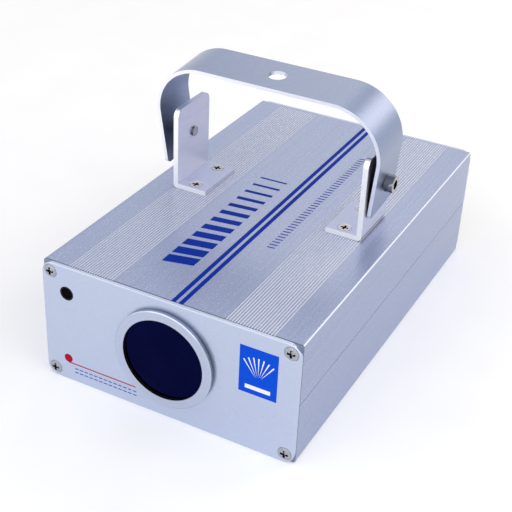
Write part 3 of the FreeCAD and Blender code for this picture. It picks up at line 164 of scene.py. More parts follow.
def grain(tree, place, size, stretch=EVEN, detail=3.0, low=0.3, high=0.7):
    """Noise from 0 to 1 with cells of a size in millimetres, drawn out along an axis by a small stretch."""
    mapped = add(tree, "ShaderNodeMapping", {"Scale": stretch}, {"Vector": place})
    noise = add(tree, "ShaderNodeTexNoise", {"Scale": per_mm(size), "Detail": detail},
                {"Vector": mapped.outputs["Vector"]})
    spread = add(tree, "ShaderNodeMapRange", {"From Min": low, "From Max": high},
                 {"Value": noise.outputs["Fac"]})
    return spread.outputs["Result"]


def painted(tree, factor, low, high, *marks):
    """A colour that runs from low to high with the factor, under marks: each a factor and its colour."""
    mixed = add(tree, "ShaderNodeMix", {"data_type": "RGBA", COLOUR_A: linear(low), COLOUR_B: linear(high)},
                {FACTOR: factor})
    for cover, colour in marks:
        mixed = add(tree, "ShaderNodeMix", {"data_type": "RGBA", COLOUR_B: linear(colour)},
                    {FACTOR: cover, COLOUR_A: mixed.outputs[COLOUR_OUT]})
    return mixed.outputs[COLOUR_OUT]


def near(tree, place, axis, spot, reach):
    """1 within a reach of a spot along an axis, both in millimetres, and 0 elsewhere."""
    along = add(tree, "ShaderNodeSeparateXYZ", None, {"Vector": place}).outputs[axis]
    inside = add(tree, "ShaderNodeMath", {"operation": "COMPARE", 1: spot * MM, 2: reach * MM}, {0: along})
    return inside.outputs["Value"]


def facing(tree, axis, least):
    """1 on faces that look along an axis, either way, by at least a share."""
    normal = add(tree, "ShaderNodeTexCoord").outputs["Normal"]
    along = add(tree, "ShaderNodeSeparateXYZ", None, {"Vector": normal}).outputs[axis]
    size = add(tree, "ShaderNodeMath", {"operation": "ABSOLUTE"}, {0: along})
    enough = add(tree, "ShaderNodeMath", {"operation": "GREATER_THAN", 1: least}, {0: size.outputs["Value"]})
    return enough.outputs["Value"]


def cut_edge(tree):
    """1 on faces that look to the front or the rear, where sheet or strip was cut to width; the materials paint
    highlight or shade there.
    """
    return facing(tree, "Y", CUT_FACING)


def corners(tree, reach, open_sky, shut_sky):
    """From 0 where the share of open sky within a reach in millimetres is large, to 1 in tight corners, where the
    materials paint shade.
    """
    sky = add(tree, "ShaderNodeAmbientOcclusion", {"samples": 8, "Distance": reach * MM}).outputs["AO"]
    shade = add(tree, "ShaderNodeMapRange", {"From Min": open_sky, "From Max": shut_sky}, {"Value": sky})
    return shade.outputs["Result"]


def dress(tree, shader, factor, colour, roughness, bump=0.0):
    """Link the colour, and take roughness and fine relief, its height in millimetres, from one pattern."""
    tree.links.new(colour, shader.inputs["Base Color"])
    smooth, rough = roughness
    gloss = add(tree, "ShaderNodeMapRange", {"To Min": smooth, "To Max": rough}, {"Value": factor})
    tree.links.new(gloss.outputs["Result"], shader.inputs["Roughness"])
    if bump:
        relief = add(tree, "ShaderNodeBump", {"Strength": 0.5, "Distance": bump * MM}, {"Height": factor})
        tree.links.new(relief.outputs["Normal"], shader.inputs["Normal"])


def grained(name, colours, roughness, size, metallic=0.0, stretch=EVEN, bump=0.0, constants=None):
    """A material whose colour, gloss and relief all follow one fine grain."""
    material, tree, shader, place = new_material(name, metallic, constants)
    factor = grain(tree, place, size, stretch)
    dress(tree, shader, factor, painted(tree, factor, *colours), roughness, bump)
    return material


def distance_from_window_axis(tree, place):
    """How far a point is from the line through the middle of the window, in metres."""
    centred = add(tree, "ShaderNodeMapping", {"Location": (0, 0, -WINDOW_HEIGHT * MM), "Scale": (1, 0, 1)},
                  {"Vector": place})
    length = add(tree, "ShaderNodeVectorMath", {"operation": "LENGTH"}, {0: centred.outputs["Vector"]})
    return length.outputs["Value"]


# Materials


def satin_anodised_aluminium():
    # Extruded, blasted and anodised: a fine sparkle with paler specks, drawn coarser than the grit so that
    # it shows, over die lines along the length. The grooves are non-metallic, their near-white a painted
    # highlight; the sawn ends, the seam and the joint behind the front panel carry painted shade
    material, tree, shader, place = new_material(
        "satin_anodised_aluminium", metallic=CASE_METALLIC,
        constants={"Coat Weight": 0.4, "Coat Roughness": 0.34, "Coat IOR": 1.7})
    sparkle = grain(tree, place, size=0.8)
    lines = grain(tree, place, size=1.6, stretch=(1, 0.004, 1))
    factor = add(tree, "ShaderNodeMix", {FACTOR: DIE_LINE_SHARE}, {NUMBER_A: sparkle, NUMBER_B: lines})
    specks = grain(tree, place, size=0.7, detail=0.0, low=0.68, high=0.84)
    groove = near(tree, place, "Z", CASE_TOP - GROOVE_MIDDLE, GROOVE_REACH)
    metal = add(tree, "ShaderNodeMapRange", {"To Min": CASE_METALLIC, "To Max": 0.0}, {"Value": groove})
    tree.links.new(metal.outputs["Result"], shader.inputs["Metallic"])
    # Painted highlight in the grooves; painted shade on the seam, the front joint and the sawn ends
    colour = painted(tree, factor.outputs[NUMBER_OUT], "#828FB1", "#9DA7C7",
                     (specks, "#CBD2E4"),
                     (groove, "#E6E9F3"),
                     (near(tree, place, "Z", SEAM_HEIGHT, SEAM_SHADE_REACH), "#4E5874"),
                     (near(tree, place, "Y", SHELL_FRONT, FRONT_JOINT_SHADE_REACH), "#4E5874"),
                     (cut_edge(tree), "#7C869C"))
    dress(tree, shader, sparkle, colour, roughness=(0.34, 0.42), bump=0.02)
    return material


def anodised_sheet():
    # Smooth rolled sheet, anodised: cleaner and glossier than the extrusion, its grain drawn coarser so
    # that it shows
    return grained("anodised_sheet", ("#BBC5DB", "#C1C9DF"), roughness=(0.27, 0.3), size=0.7, metallic=0.9)


def turned_aluminium():
    # Turned on a lathe: rings round the window's axis, drawn wider than the tool's marks so that they show,
    # a blackened inner wall and a shaded foot
    material, tree, shader, place = new_material("turned_aluminium", metallic=1.0)
    radius = distance_from_window_axis(tree, place)
    ring = add(tree, "ShaderNodeMath", {"operation": "MULTIPLY", 1: per_mm(LATHE_RING)}, {0: radius})
    rings = add(tree, "ShaderNodeTexNoise", {"noise_dimensions": "1D", "Scale": 1.0, "Detail": 2.0},
                {"W": ring.outputs["Value"]}).outputs["Fac"]
    inner = add(tree, "ShaderNodeMath", {"operation": "LESS_THAN", 1: (WINDOW_RADIUS + INNER_WALL) * MM},
                {0: radius})
    colour = painted(tree, rings, "#B0B9D0", "#C3CADD",
                     (inner.outputs["Value"], "#05070E"),
                     (corners(tree, reach=6.0, open_sky=0.9, shut_sky=0.45), "#10141F"))
    dress(tree, shader, rings, colour, roughness=(0.18, 0.30), bump=0.01)
    return material


def dark_window_glass():
    # Float glass under a metallic coating: nearly black, with a deep blue reflection, very faintly clouded
    material, tree, shader, place = new_material(
        "dark_window_glass", metallic=0.5,
        constants={"IOR": 1.2, "Transmission Weight": 1.0, "Specular Tint": linear("#0030FF")})
    factor = grain(tree, place, size=18.0, detail=1.0)
    dress(tree, shader, factor, painted(tree, factor, "#000C3A", "#000E40"), roughness=(0.0, 0.02))
    return material


def bent_aluminium_strap():
    # Blasted strip, bent cold and anodised: an even sparkle under a clear film, drawn coarser than the grit
    # so that it shows, with a painted highlight on the sheared edges and painted shade in the inner corners
    material, tree, shader, place = new_material(
        "bent_aluminium_strap", metallic=1.0,
        constants={"Coat Weight": 0.9, "Coat Roughness": 0.36, "Coat IOR": 1.8})
    factor = grain(tree, place, size=1.0)
    colour = painted(tree, factor, "#66779C", "#7888AB",
                     # Painted highlight on the sheared edges, painted shade in the inner corners
                     (cut_edge(tree), "#F4F5FA"),
                     (corners(tree, reach=10.0, open_sky=0.45, shut_sky=0.15), "#1C2230"))
    dress(tree, shader, factor, colour, roughness=(0.36, 0.46), bump=0.03)
    return material


def rolled_aluminium_angle():
    # Rolled sheet, folded: smoother, and paler than the case as painted light, with rolling lines drawn coarser so
    # that they show, painted shade on the flat foot, a painted highlight on the sheared edges and painted shade in
    # the inner corners
    material, tree, shader, place = new_material("rolled_aluminium_angle", metallic=0.6)
    factor = grain(tree, place, size=1.0, stretch=(1, 0.1, 1))
    colour = painted(tree, factor, "#C0C3D4", "#CACDDC",
                     # Painted shade on the flat foot, a painted highlight on the sheared edges, painted shade in
                     # the corners
                     (facing(tree, "Z", FLAT_FACING), "#A9B2D0"),
                     (cut_edge(tree), "#FDFCFA"),
                     (corners(tree, reach=10.0, open_sky=0.45, shut_sky=0.15), "#14161E"))
    dress(tree, shader, factor, colour, roughness=(0.28, 0.38), bump=0.01)
    return material


def nickel_plated_steel():
    # Plated screws: bright, with a mottle drawn coarser so that it shows, and painted shade in the driver recess
    material, tree, shader, place = new_material("nickel_plated_steel", metallic=1.0)
    factor = grain(tree, place, size=0.8)
    colour = painted(tree, factor, "#989AA2", "#B6B8C0",
                     # Painted shade in the driver recess and next to the panel
                     (corners(tree, reach=1.6, open_sky=0.85, shut_sky=0.45), "#121215"))
    dress(tree, shader, factor, colour, roughness=(0.16, 0.28))
    return material


def chromed_steel():
    # Chrome plate: a clear bright coat over a dark base that is a painted dark reflection, faintly clouded,
    # with painted shade in its socket
    material, tree, shader, place = new_material(
        "chromed_steel", metallic=1.0,
        constants={"Coat Weight": 1.0, "Coat Roughness": 0.04, "Coat IOR": 2.2})
    factor = grain(tree, place, size=1.5)
    # Dark base as a painted reflection; painted shade in the socket
    colour = painted(tree, factor, "#3A3E48", "#4A505C",
                     (corners(tree, reach=4.0, open_sky=0.8, shut_sky=0.4), "#0E0E0F"))
    dress(tree, shader, factor, colour, roughness=(0.06, 0.14))
    return material


def black_rubber():
    # Moulded rubber: matt, with a little dust, drawn coarser so that it shows
    return grained("black_rubber", ("#0E0E0F", "#1A1A1B"), roughness=(0.6, 0.75), size=0.6, bump=0.02,
                   constants={"Specular IOR Level": 0.2})


def felt_cover():
    # Felt disc over the microphone: soft black fibres, drawn thicker so that they show
    return grained("felt_cover", ("#020203", "#060607"), roughness=(0.85, 0.95), size=0.3, bump=0.08,
                   constants={"Specular IOR Level": 0.05})


def mill_finish_sheet():
    # Plain sheet as it leaves the mill: grey, with rolling lines drawn coarser so that they show
    return grained("mill_finish_sheet", ("#9B9EA3", "#B0B2B6"), roughness=(0.3, 0.42), size=1.0,
                   metallic=0.9, stretch=(1, 0.1, 1))


def milled_aluminium():
    # Milled block: bright, with cutter marks across it
    return grained("milled_aluminium", ("#A8AAAE", "#C2C4C7"), roughness=(0.24, 0.36), size=0.8,
                   metallic=0.95, stretch=(0.15, 1, 1), bump=0.02)


def black_anodised_aluminium():
    # Dyed black in the anodising bath: dark satin metal, its grain drawn coarser so that it shows
    return grained("black_anodised_aluminium", ("#141518", "#1F2024"), roughness=(0.35, 0.48), size=0.7,
                   metallic=0.6, bump=0.01)


def turned_brass():
    # Free-cutting brass: yellow and bright, its mottle drawn coarser so that it shows
    return grained("turned_brass", ("#B8934A", "#CFAE66"), roughness=(0.2, 0.32), size=0.6, metallic=1.0)


def silvered_mirror():
    # Front-silvered mirror: reflects nearly everything, with the faintest haze
    return grained("silvered_mirror", ("#DADDE2", "#E6E9EE"), roughness=(0.02, 0.05), size=3.0,
                   metallic=1.0)


def ground_steel():
    # Centreless ground steel: grey, with fine lines drawn coarser so that they show
    return grained("ground_steel", ("#8E9094", "#A6A8AB"), roughness=(0.24, 0.36), size=0.5,
                   metallic=1.0, stretch=(1, 0.3, 1))


def solder_resist():
    # Glass-fibre board under green resist, with paler tracks running in straight lines
    material, tree, shader, place = new_material("solder_resist", constants={"Coat Weight": 0.3})
    tracks = add(tree, "ShaderNodeTexBrick",
                 {"Scale": per_mm(BOARD_FIELD), "Mortar Size": 0.06, "Color1": linear("#0F4A24"),
                  "Color2": linear("#125229"), "Mortar": linear("#2C7A45")}, {"Vector": place})
    dress(tree, shader, tracks.outputs["Fac"], tracks.outputs["Color"], roughness=(0.3, 0.4), bump=0.03)
    return material


def moulded_epoxy():
    # Component cases: dark grey and matt, the mould's texture drawn coarser so that it shows
    return grained("moulded_epoxy", ("#16171A", "#232428"), roughness=(0.5, 0.65), size=0.5, bump=0.02)


def moulded_black_plastic():
    # Injection moulded ABS: black, with a spark-eroded texture drawn coarser so that it shows
    return grained("moulded_black_plastic", ("#101112", "#1B1C1D"), roughness=(0.4, 0.55), size=0.5,
                   bump=0.03)


def gloss_black_plastic():
    # Polished mould: deep black with a clear reflection
    return grained("gloss_black_plastic", ("#0B0B0C", "#131314"), roughness=(0.14, 0.22), size=2.0)


def plated_wire():
    # Drawn steel wire with bright plating, faintly mottled
    return grained("plated_wire", ("#B5B5B3", "#CECECB"), roughness=(0.14, 0.26), size=1.0, metallic=1.0)


def zinc_plated_steel():
    # Zinc plate: bluish grey, faintly clouded
    return grained("zinc_plated_steel", ("#979BA0", "#B3B6B8"), roughness=(0.28, 0.42), size=1.4,
                   metallic=1.0)


def screen_ink(name, colours):
    # Screen-printed ink: even colour with a low sheen and the mesh's marks, drawn coarser so that they show
    return grained(name, colours, roughness=(0.4, 0.52), size=0.6, bump=0.004,
                   constants={"Specular IOR Level": 0.04})


SLOT_FINISHES = {
    "case_silver": satin_anodised_aluminium(),
    "panel_silver": anodised_sheet(),
    "bezel_silver": turned_aluminium(),
    "window_glass": dark_window_glass(),
    "rubber_black": black_rubber(),
    "microphone_black": felt_cover(),
    "bracket_silver": rolled_aluminium_angle(),
    "handle_silver": bent_aluminium_strap(),
    "screw_steel": nickel_plated_steel(),
    "bolt_chrome": chromed_steel(),
    "chassis_aluminium": mill_finish_sheet(),
    "block_aluminium": milled_aluminium(),
    "laser_black": black_anodised_aluminium(),
    "brass": turned_brass(),
    "mirror": silvered_mirror(),
    "motor_steel": ground_steel(),
    "board_green": solder_resist(),
    "component_black": moulded_epoxy(),
    "fan_black": moulded_black_plastic(),
    "guard_chrome": plated_wire(),
    "inlet_black": gloss_black_plastic(),
    "pot_metal": zinc_plated_steel(),
}
SLOT_FINISHES["switch_black"] = SLOT_FINISHES["inlet_black"]
SLOT_FINISHES["rocker_black"] = SLOT_FINISHES["inlet_black"]
SLOT_FINISHES["knob_black"] = SLOT_FINISHES["fan_black"]
blue_ink = screen_ink("blue_ink", ("#022892", "#06309E"))
label_blue = screen_ink("label_blue", ("#0648CC", "#0B50D6"))
red_ink = screen_ink("red_ink", ("#9E0E2A", "#A81432"))
white_ink = screen_ink("white_ink", ("#E4E6EA", "#F0F1F4"))

for entry in frame["record"]["subparts"]:
    slots = nodes[entry["node"]].data.materials
    slots.clear()
    slots.append(SLOT_FINISHES[entry["material_slot"]])


# Shapes of marks and turned pieces


def shifted(x, y, z):
    """A move by lengths in millimetres."""
    return Matrix.Translation(Vector((x, y, z)) * MM)


def tipped(degrees, axis):
    """A turn about an axis."""
    return Matrix.Rotation(math.radians(degrees), 4, axis)


def mesh_of(name, shape):
    """A mesh from a bmesh, with its faces pointing outwards."""
    bmesh.ops.recalc_face_normals(shape, faces=shape.faces)
    mesh = bpy.data.meshes.new(name)
    shape.to_mesh(mesh)
    shape.free()
    return mesh


def film(name, points, thickness=INK):
    """A thin closed film: a flat outline in millimetres in the XY plane, raised by its thickness."""
    shape = bmesh.new()
    face = shape.faces.new([shape.verts.new((x * MM, y * MM, 0)) for x, y in points])
    raised = bmesh.ops.extrude_face_region(shape, geom=[face])["geom"]
    moved = [item for item in raised if isinstance(item, bmesh.types.BMVert)]
    bmesh.ops.translate(shape, verts=moved, vec=(0, 0, thickness * MM))
    return mesh_of(name, shape)


def bar_outline(width, length, slant=0.0):
    """Corners of a bar about its middle; the slant moves its far side along its length."""
    half, reach, lean = width / 2, length / 2, slant / 2
    return [(-half, -reach - lean), (half, -reach + lean), (half, reach + lean), (-half, reach - lean)]


def circle_outline(radius, sides=32):
    """Corners of a circle of many sides about the origin."""
    angles = [2 * math.pi * index / sides for index in range(sides)]
    return [(radius * math.cos(angle), radius * math.sin(angle)) for angle in angles]


def turned(name, profile, sides=64, merge=0.001):
    """A closed shape turned about Z from (radius, height) points in millimetres."""
    shape = bmesh.new()
    spots = [shape.verts.new((radius * MM, 0, height * MM)) for radius, height in profile]
    edges = [shape.edges.new(pair) for pair in zip(spots, spots[1:])]
    bmesh.ops.spin(shape, geom=spots + edges, cent=(0, 0, 0), axis=(0, 0, 1), angle=2 * math.pi,
                   steps=sides)
    bmesh.ops.remove_doubles(shape, verts=shape.verts, dist=merge * MM)
    return mesh_of(name, shape)


def ring_film(name, outer, inner, thickness=INK):
    """A flat ring with a square section, about the Z axis."""
    section = [(inner, 0), (outer, 0), (outer, thickness), (inner, thickness), (inner, 0)]
    return turned(name, section, sides=32)


def repeat_tree():
    """Copies of a shape, each moved by a step, turned by an angle and scaled towards an end size."""
    tree = bpy.data.node_groups.new("repeat_shape", "GeometryNodeTree")
    inputs = {"Shape": "Object", "Count": "Int", "Step": "Vector", "Turn": "Vector", "First Turn": "Vector",
              "End Scale": "Vector", "Material": "Material"}
    for label, kind in inputs.items():
        tree.interface.new_socket(label, in_out="INPUT", socket_type=f"NodeSocket{kind}")
    tree.interface.new_socket("Geometry", in_out="OUTPUT", socket_type="NodeSocketGeometry")
    given = add(tree, "NodeGroupInput").outputs
    index = add(tree, "GeometryNodeInputIndex").outputs["Index"]
    row = add(tree, "GeometryNodeMeshLine", {"mode": "OFFSET"},
              {"Count": given["Count"], "Offset": given["Step"]})
    turn = add(tree, "ShaderNodeVectorMath", {"operation": "MULTIPLY_ADD"},
               {0: given["Turn"], 1: index, 2: given["First Turn"]})
    last = add(tree, "ShaderNodeMath", {"operation": "SUBTRACT", 1: 1.0}, {0: given["Count"]})
    share = add(tree, "ShaderNodeMath", {"operation": "DIVIDE"}, {0: index, 1: last.outputs["Value"]})
    scale = add(tree, "ShaderNodeMix", {"data_type": "VECTOR", VECTOR_A: EVEN},
                {FACTOR: share.outputs["Value"], VECTOR_B: given["End Scale"]})
    shape = add(tree, "GeometryNodeObjectInfo", None, {"Object": given["Shape"]})
    copies = add(tree, "GeometryNodeInstanceOnPoints", None,
                 {"Points": row.outputs["Mesh"], "Instance": shape.outputs["Geometry"],
                  "Rotation": turn.outputs["Vector"], "Scale": scale.outputs[VECTOR_OUT]})
    solid = add(tree, "GeometryNodeRealizeInstances", None, {"Geometry": copies.outputs["Instances"]})
    coloured = add(tree, "GeometryNodeSetMaterial", None,
                   {"Geometry": solid.outputs["Geometry"], "Material": given["Material"]})
    add(tree, "NodeGroupOutput", None, {"Geometry": coloured.outputs["Geometry"]})
    return tree


REPEAT = repeat_tree()


def repeated(name, mesh, material, count, step=STILL, turn=STILL, first_turn=STILL, end_scale=EVEN):
    """A plain mesh of the repeated shape: steps in millimetres, turns in degrees."""
    master = bpy.data.objects.new(f"{name}_master", mesh)
    holder = bpy.data.objects.new(f"{name}_holder", bpy.data.meshes.new(f"{name}_holder"))
    for thing in (master, holder):
        scene.collection.objects.link(thing)
    values = {"Shape": master, "Count": count, "Step": [length * MM for length in step],
              "Turn": [math.radians(angle) for angle in turn],
              "First Turn": [math.radians(angle) for angle in first_turn],
              "End Scale": list(end_scale), "Material": material}
    modifier = holder.modifiers.new("repeat", "NODES")
    modifier.node_group = REPEAT
    for socket in REPEAT.interface.items_tree:
        if socket.in_out == "INPUT":
            modifier[socket.identifier] = values[socket.name]
    evaluated = holder.evaluated_get(bpy.context.evaluated_depsgraph_get())
    result = bpy.data.meshes.new_from_object(evaluated)
    result.name = name
    for thing in (holder, master):
        bpy.data.objects.remove(thing)
    return result


def piece(name, mesh, place, material, body):
    """A finished piece at the origin, with its place in its mesh, riding on a body."""
    mesh.transform(place)
    mesh.materials.clear()
    mesh.materials.append(material)
    thing = bpy.data.objects.new(name, mesh)
    scene.collection.objects.link(thing)
    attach(thing, body)
    return thing


def on_top(x, y):
    """Lay a mark on the top of the case."""
    return shifted(x, y, CASE_TOP)


def on_front(x, z):
    """Stand a mark on the front panel, facing the front."""
    return shifted(x, FRONT_FACE, z) @ tipped(90, "X")


def facing_rear(place):
    """Stand a mark or a knob at a place, facing the rear."""
    return place @ tipped(-90, "X")


# Print on the top: sizes and places in millimetres, widths across the case and lengths along it
STRIPE_WIDTH = 2.5
STRIPE_PITCH = 4.3
STRIPE_COUNT = 2
STRIPE_START = 3.25
STRIPE_SPARE = 0.4
BAR_WIDTH = 17.0
BAR_LENGTH = 7.6
BAR_SLANT = 4.0
BAR_PITCH = 9.6
BAR_COUNT = 12
BAR_LAST_SHARE = 0.2
BAR_START = (-13.5, -86.0)
STROKE_WIDTH = 4.4
STROKE_LENGTH = 0.9
STROKE_SLANT = 0.6
STROKE_PITCH = 3.2
STROKE_COUNT = 40
STROKE_START = (20.5, -50.0)


def top_print():
    """Two stripes along the case, tapering bars on one side of them and a row of strokes on the other."""
    stripe = film("stripe", bar_outline(STRIPE_WIDTH, SHELL_LENGTH - STRIPE_SPARE))
    stripes = repeated("blue_stripes", stripe, blue_ink, STRIPE_COUNT, step=(STRIPE_PITCH, 0, 0))
    piece("blue_stripes", stripes, on_top(STRIPE_START, 0), blue_ink, "case")
    bar = film("bar", bar_outline(BAR_WIDTH, BAR_LENGTH, BAR_SLANT))
    bars = repeated("blue_bars", bar, blue_ink, BAR_COUNT, step=(0, BAR_PITCH, 0),
                    end_scale=(1, BAR_LAST_SHARE, 1))
    piece("blue_bars", bars, on_top(*BAR_START), blue_ink, "case")
    stroke = film("stroke", bar_outline(STROKE_WIDTH, STROKE_LENGTH, STROKE_SLANT))
    strokes = repeated("blue_strokes", stroke, blue_ink, STROKE_COUNT, step=(0, STROKE_PITCH, 0))
    piece("blue_strokes", strokes, on_top(*STROKE_START), blue_ink, "case")


# Print on the front panel, in millimetres: sizes as width and height, places from the middle and the
# underside of the case, and turns in degrees
LABEL_SIZE = (21.1, 27.8)
LABEL_X = 53.0
LABEL_HEIGHT = 48.8
FIELD_SIZE = (14.0, 2.4)
FIELD_HEIGHT = 39.0
BEAM_SOURCE_HEIGHT = 43.5
BEAM_START = 2.5
BEAM_END = 14.0
BEAM_HALF_WIDTH = 0.4
BEAM_COUNT = 7
BEAM_TURN = 12.0
RULE_SIZE = (43.0, 0.7)
RULE_PLACE = (-39.5, 11.6)
DOT_RADIUS = 2.6
DOT_PLACE = (-61.0, 14.2)
DASH_SIZE = (2.2, 0.6)
DASH_PITCH = 3.1
DASH_COUNT = 13
DASH_ROW_PITCH = 2.4
DASH_ROW_COUNT = 2
DASH_START = (-56.0, 8.6)


def front_print():
    """A blue label with a fan of beams over a blank field, and a red dot and rule over rows of dashes."""
    label = film("front_label", bar_outline(*LABEL_SIZE))
    piece("front_label", label, on_front(LABEL_X, LABEL_HEIGHT), label_blue, "case")
    field = film("label_field", bar_outline(*FIELD_SIZE), 2 * INK)
    piece("label_field", field, on_front(LABEL_X, FIELD_HEIGHT), white_ink, "case")
    corners_of_beam = [(0, BEAM_START), (BEAM_HALF_WIDTH, BEAM_END), (-BEAM_HALF_WIDTH, BEAM_END)]
    beam = film("beam", corners_of_beam, 2 * INK)
    first_turn = -BEAM_TURN * (BEAM_COUNT - 1) / 2
    beams = repeated("label_beams", beam, white_ink, BEAM_COUNT, turn=(0, 0, BEAM_TURN),
                     first_turn=(0, 0, first_turn))
    piece("label_beams", beams, on_front(LABEL_X, BEAM_SOURCE_HEIGHT), white_ink, "case")
    rule = film("red_rule", bar_outline(*RULE_SIZE))
    piece("red_rule", rule, on_front(*RULE_PLACE), red_ink, "case")
    dot = film("red_dot", circle_outline(DOT_RADIUS))
    piece("red_dot", dot, on_front(*DOT_PLACE), red_ink, "case")
    dash = film("dash", bar_outline(*DASH_SIZE))
    row = repeated("dash_row", dash, blue_ink, DASH_COUNT, step=(DASH_PITCH, 0, 0))
    rows = repeated("front_dashes", row, blue_ink, DASH_ROW_COUNT, step=(0, -DASH_ROW_PITCH, 0))
    piece("front_dashes", rows, on_front(*DASH_START), blue_ink, "case")


# Knobs: radii, and heights above the rear panel, in millimetres
KNOB_START = 2.5
KNOB_END = 17.4
KNOB_RADIUS = 5.6
KNOB_RIM = [(4.6, KNOB_END), (5.5, 16.9), (KNOB_RADIUS, 16.2)]
KNOB_WELL_RADIUS = 4.0
KNOB_WELL_END = 6.5
RIB_RADIUS = 0.42
RIB_SIDES = 8
RIB_LENGTH = 13.0
RIB_START = 3.0
RIB_SEAT_RADIUS = 5.55
RIB_COUNT = 30
POINTER_SIZE = (0.8, 3.6)
POINTER_SEAT_RADIUS = 2.4
TICK_SIZE = (0.45, 1.0)
TICK_SEAT_RADIUS = 7.2
TICK_COUNT = 11


def ribbed_knob(name):
    """A knob with fine ribs round its grip, a white pointer line on its end, and ticks over its travel."""
    seat = facing_rear(shifted(*pivot_in_mm(name)))
    black = SLOT_FINISHES["knob_black"]
    core = [(0, KNOB_END), *KNOB_RIM, (KNOB_RADIUS, KNOB_START), (KNOB_WELL_RADIUS, KNOB_START),
            (KNOB_WELL_RADIUS, KNOB_WELL_END), (0, KNOB_WELL_END)]
    cap = piece(name + "_cap", turned(name + "_cap", core), seat, black, name)
    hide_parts(name)
    rib = film("rib", circle_outline(RIB_RADIUS, RIB_SIDES), RIB_LENGTH)
    rib.transform(shifted(RIB_SEAT_RADIUS, 0, RIB_START))
    ribs = repeated(name + "_ribs", rib, black, RIB_COUNT, turn=(0, 0, 360 / RIB_COUNT))
    piece(name + "_ribs", ribs, seat, black, name)
    line = film(name + "_pointer", bar_outline(*POINTER_SIZE))
    pointer_seat = seat @ shifted(0, -POINTER_SEAT_RADIUS, KNOB_END)
    piece(name + "_pointer", line, pointer_seat, white_ink, name)
    tick = film("tick", bar_outline(*TICK_SIZE))
    tick.transform(shifted(0, -TICK_SEAT_RADIUS, 0))
    first, last = joint_of[name]["range_deg"]
    spacing = (last - first) / (TICK_COUNT - 1)
    ticks = repeated(name + "_ticks", tick, blue_ink, TICK_COUNT, turn=(0, 0, spacing),
                     first_turn=(0, 0, first))
    piece(name + "_ticks", ticks, seat, blue_ink, "case")


# Rocker, in millimetres: how far its ends and its middle stand out from its pivot, half its length, and its
# marks
ROCKER_RISE = 2.6
ROCKER_DIP = 1.2
ROCKER_HALF = 4.4
ROCKER_MARK_X = 2.3
ROCKER_STROKE_SIZE = (0.45, 1.8)
ROCKER_RING_RADII = (0.95, 0.6)


def rocker_marks():
    """An upright stroke and a ring on the two sides of the rocker, which rests at one end of its throw."""
    rest = -joint_of["switch_rocker"]["range_deg"][0] / 2
    pivot = shifted(*pivot_in_mm("switch_rocker")) @ tipped(rest, "Z")
    slope = (ROCKER_RISE - ROCKER_DIP) / ROCKER_HALF
    marks = {1: film("rocker_stroke", bar_outline(*ROCKER_STROKE_SIZE)),
             -1: ring_film("rocker_ring", *ROCKER_RING_RADII)}
    for side, mesh in marks.items():
        spot = shifted(side * ROCKER_MARK_X, ROCKER_DIP + slope * ROCKER_MARK_X, 0)
        face = facing_rear(spot @ tipped(side * math.degrees(math.atan(slope)), "Z"))
        piece(mesh.name, mesh, pivot @ face, white_ink, "switch_rocker")


top_print()
front_print()
for knob in KNOBS:
    ribbed_knob(knob)
rocker_marks()


# Studio: the floor in millimetres, how much its paper is lightened where it is seen, and the strength of the
# world as a fill light and where it is seen
FLOOR_RADIUS = 1000.0
FLOOR_SIDES = 96
FLOOR_THICKNESS = 1.0
FLOOR_GAP = 0.1
PAPER_LIFT = 0.16
WORLD_FILL = 0.55
WORLD_WHITE = 1.0


def seen_ray(tree):
    """1 for what the camera sees, straight, in metal or through glass, and 0 for light on the object."""
    path = add(tree, "ShaderNodeLightPath").outputs
    seen = add(tree, "ShaderNodeMath", {"operation": "MAXIMUM"},
               {0: path["Is Camera Ray"], 1: path["Is Glossy Ray"]})
    seen = add(tree, "ShaderNodeMath", {"operation": "MAXIMUM"},
               {0: seen.outputs["Value"], 1: path["Is Transmission Ray"]})
    return seen.outputs["Value"]


def studio_paper():
    # Matt paper, very faintly uneven: near white, and lightened where it is seen, so that it keeps the
    # shadow
    material, tree, shader, place = new_material("studio_paper")
    factor = grain(tree, place, size=40.0)
    dress(tree, shader, factor, painted(tree, factor, "#EDEEF2", "#F1F2F5"), roughness=(0.8, 0.9))
    lift = add(tree, "ShaderNodeMath", {"operation": "MULTIPLY", 1: PAPER_LIFT}, {0: seen_ray(tree)})
    shader.inputs["Emission Color"].default_value = linear(WHITE)
    tree.links.new(lift.outputs["Value"], shader.inputs["Emission Strength"])
    return material


def studio_floor():
    """A round pale floor that keeps the soft shadow and runs out into the white behind it."""
    mesh = film("studio_floor", circle_outline(FLOOR_RADIUS, FLOOR_SIDES), FLOOR_THICKNESS)
    mesh.transform(shifted(0, 0, -FLOOR_THICKNESS - FLOOR_GAP))
    mesh.materials.append(studio_paper())
    floor = bpy.data.objects.new("studio_floor", mesh)
    scene.collection.objects.link(floor)


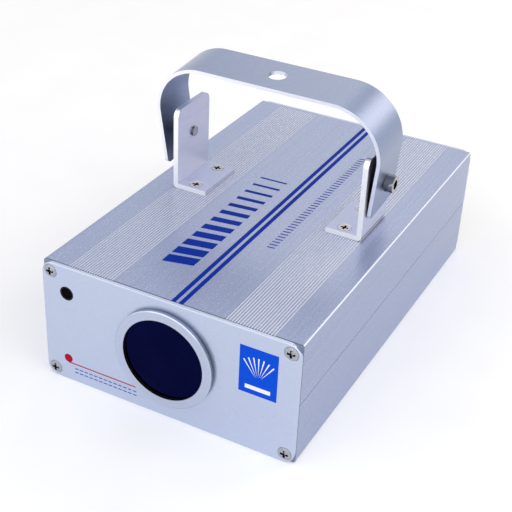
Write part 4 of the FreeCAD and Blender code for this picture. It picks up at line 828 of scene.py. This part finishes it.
def studio_world():
    """White behind the object and in its reflections, and a plain fill light on it."""
    world = bpy.data.worlds.new("studio")
    world.use_nodes = True
    scene.world = world
    tree = world.node_tree
    strength = add(tree, "ShaderNodeMapRange", {"To Min": WORLD_FILL, "To Max": WORLD_WHITE},
                   {"Value": seen_ray(tree)})
    background = tree.nodes["Background"]
    background.inputs["Color"].default_value = linear(WHITE)
    tree.links.new(strength.outputs["Result"], background.inputs["Strength"])


def softbox(name, place, target, size, power, colour=WHITE):
    """A rectangular area lamp that points at a target: places and sizes in metres, power in watts."""
    lamp = bpy.data.lights.new(name, "AREA")
    lamp.shape = "RECTANGLE"
    lamp.size, lamp.size_y = size
    lamp.energy = power
    lamp.color = linear(colour)[:3]
    thing = bpy.data.objects.new(name, lamp)
    scene.collection.objects.link(thing)
    thing.location = Vector(place)
    thing.rotation_euler = (Vector(target) - Vector(place)).to_track_quat("-Z", "Y").to_euler()


def studio_lamps():
    """A wide key in front, a softer fill on each side, and two small warm lamps behind for the edges."""
    case_middle = (0, 0, 0.05)
    warm = "#FFEFDA"
    softbox("key_light", place=(-0.2, -1.4, 0.85), target=case_middle, size=(2.8, 1.9), power=15.5)
    softbox("fill_light", place=(1.3, -0.2, 0.8), target=case_middle, size=(1.6, 1.4), power=8.4)
    softbox("side_light", place=(-1.3, -0.1, 0.8), target=case_middle, size=(1.6, 1.4), power=2.5)
    softbox("rear_light", place=(0.75, 1.2, 0.85), target=(0, 0, 0.1), size=(0.7, 0.8), power=4.8,
            colour=warm)
    softbox("back_light", place=(-0.32, 1.1, 1.05), target=(0, 0, 0.07), size=(0.6, 0.5), power=0.9,
            colour=warm)


def photo_camera():
    """The camera of the photograph."""
    camera = bpy.data.cameras.new("photo_camera")
    camera.lens = CAMERA_LENS
    camera.sensor_width = CAMERA_SENSOR
    camera.clip_start = CAMERA_NEAREST * MM
    thing = bpy.data.objects.new("photo_camera", camera)
    scene.collection.objects.link(thing)
    gaze = Vector(CAMERA_TARGET) - Vector(CAMERA_EYE)
    turn = gaze.to_track_quat("-Z", "Y").to_matrix().to_4x4()
    thing.matrix_world = shifted(*CAMERA_EYE) @ turn @ tipped(CAMERA_ROLL, "Z")
    scene.camera = thing


studio_floor()
studio_world()
studio_lamps()
photo_camera()
scene.view_settings.view_transform = "Standard"
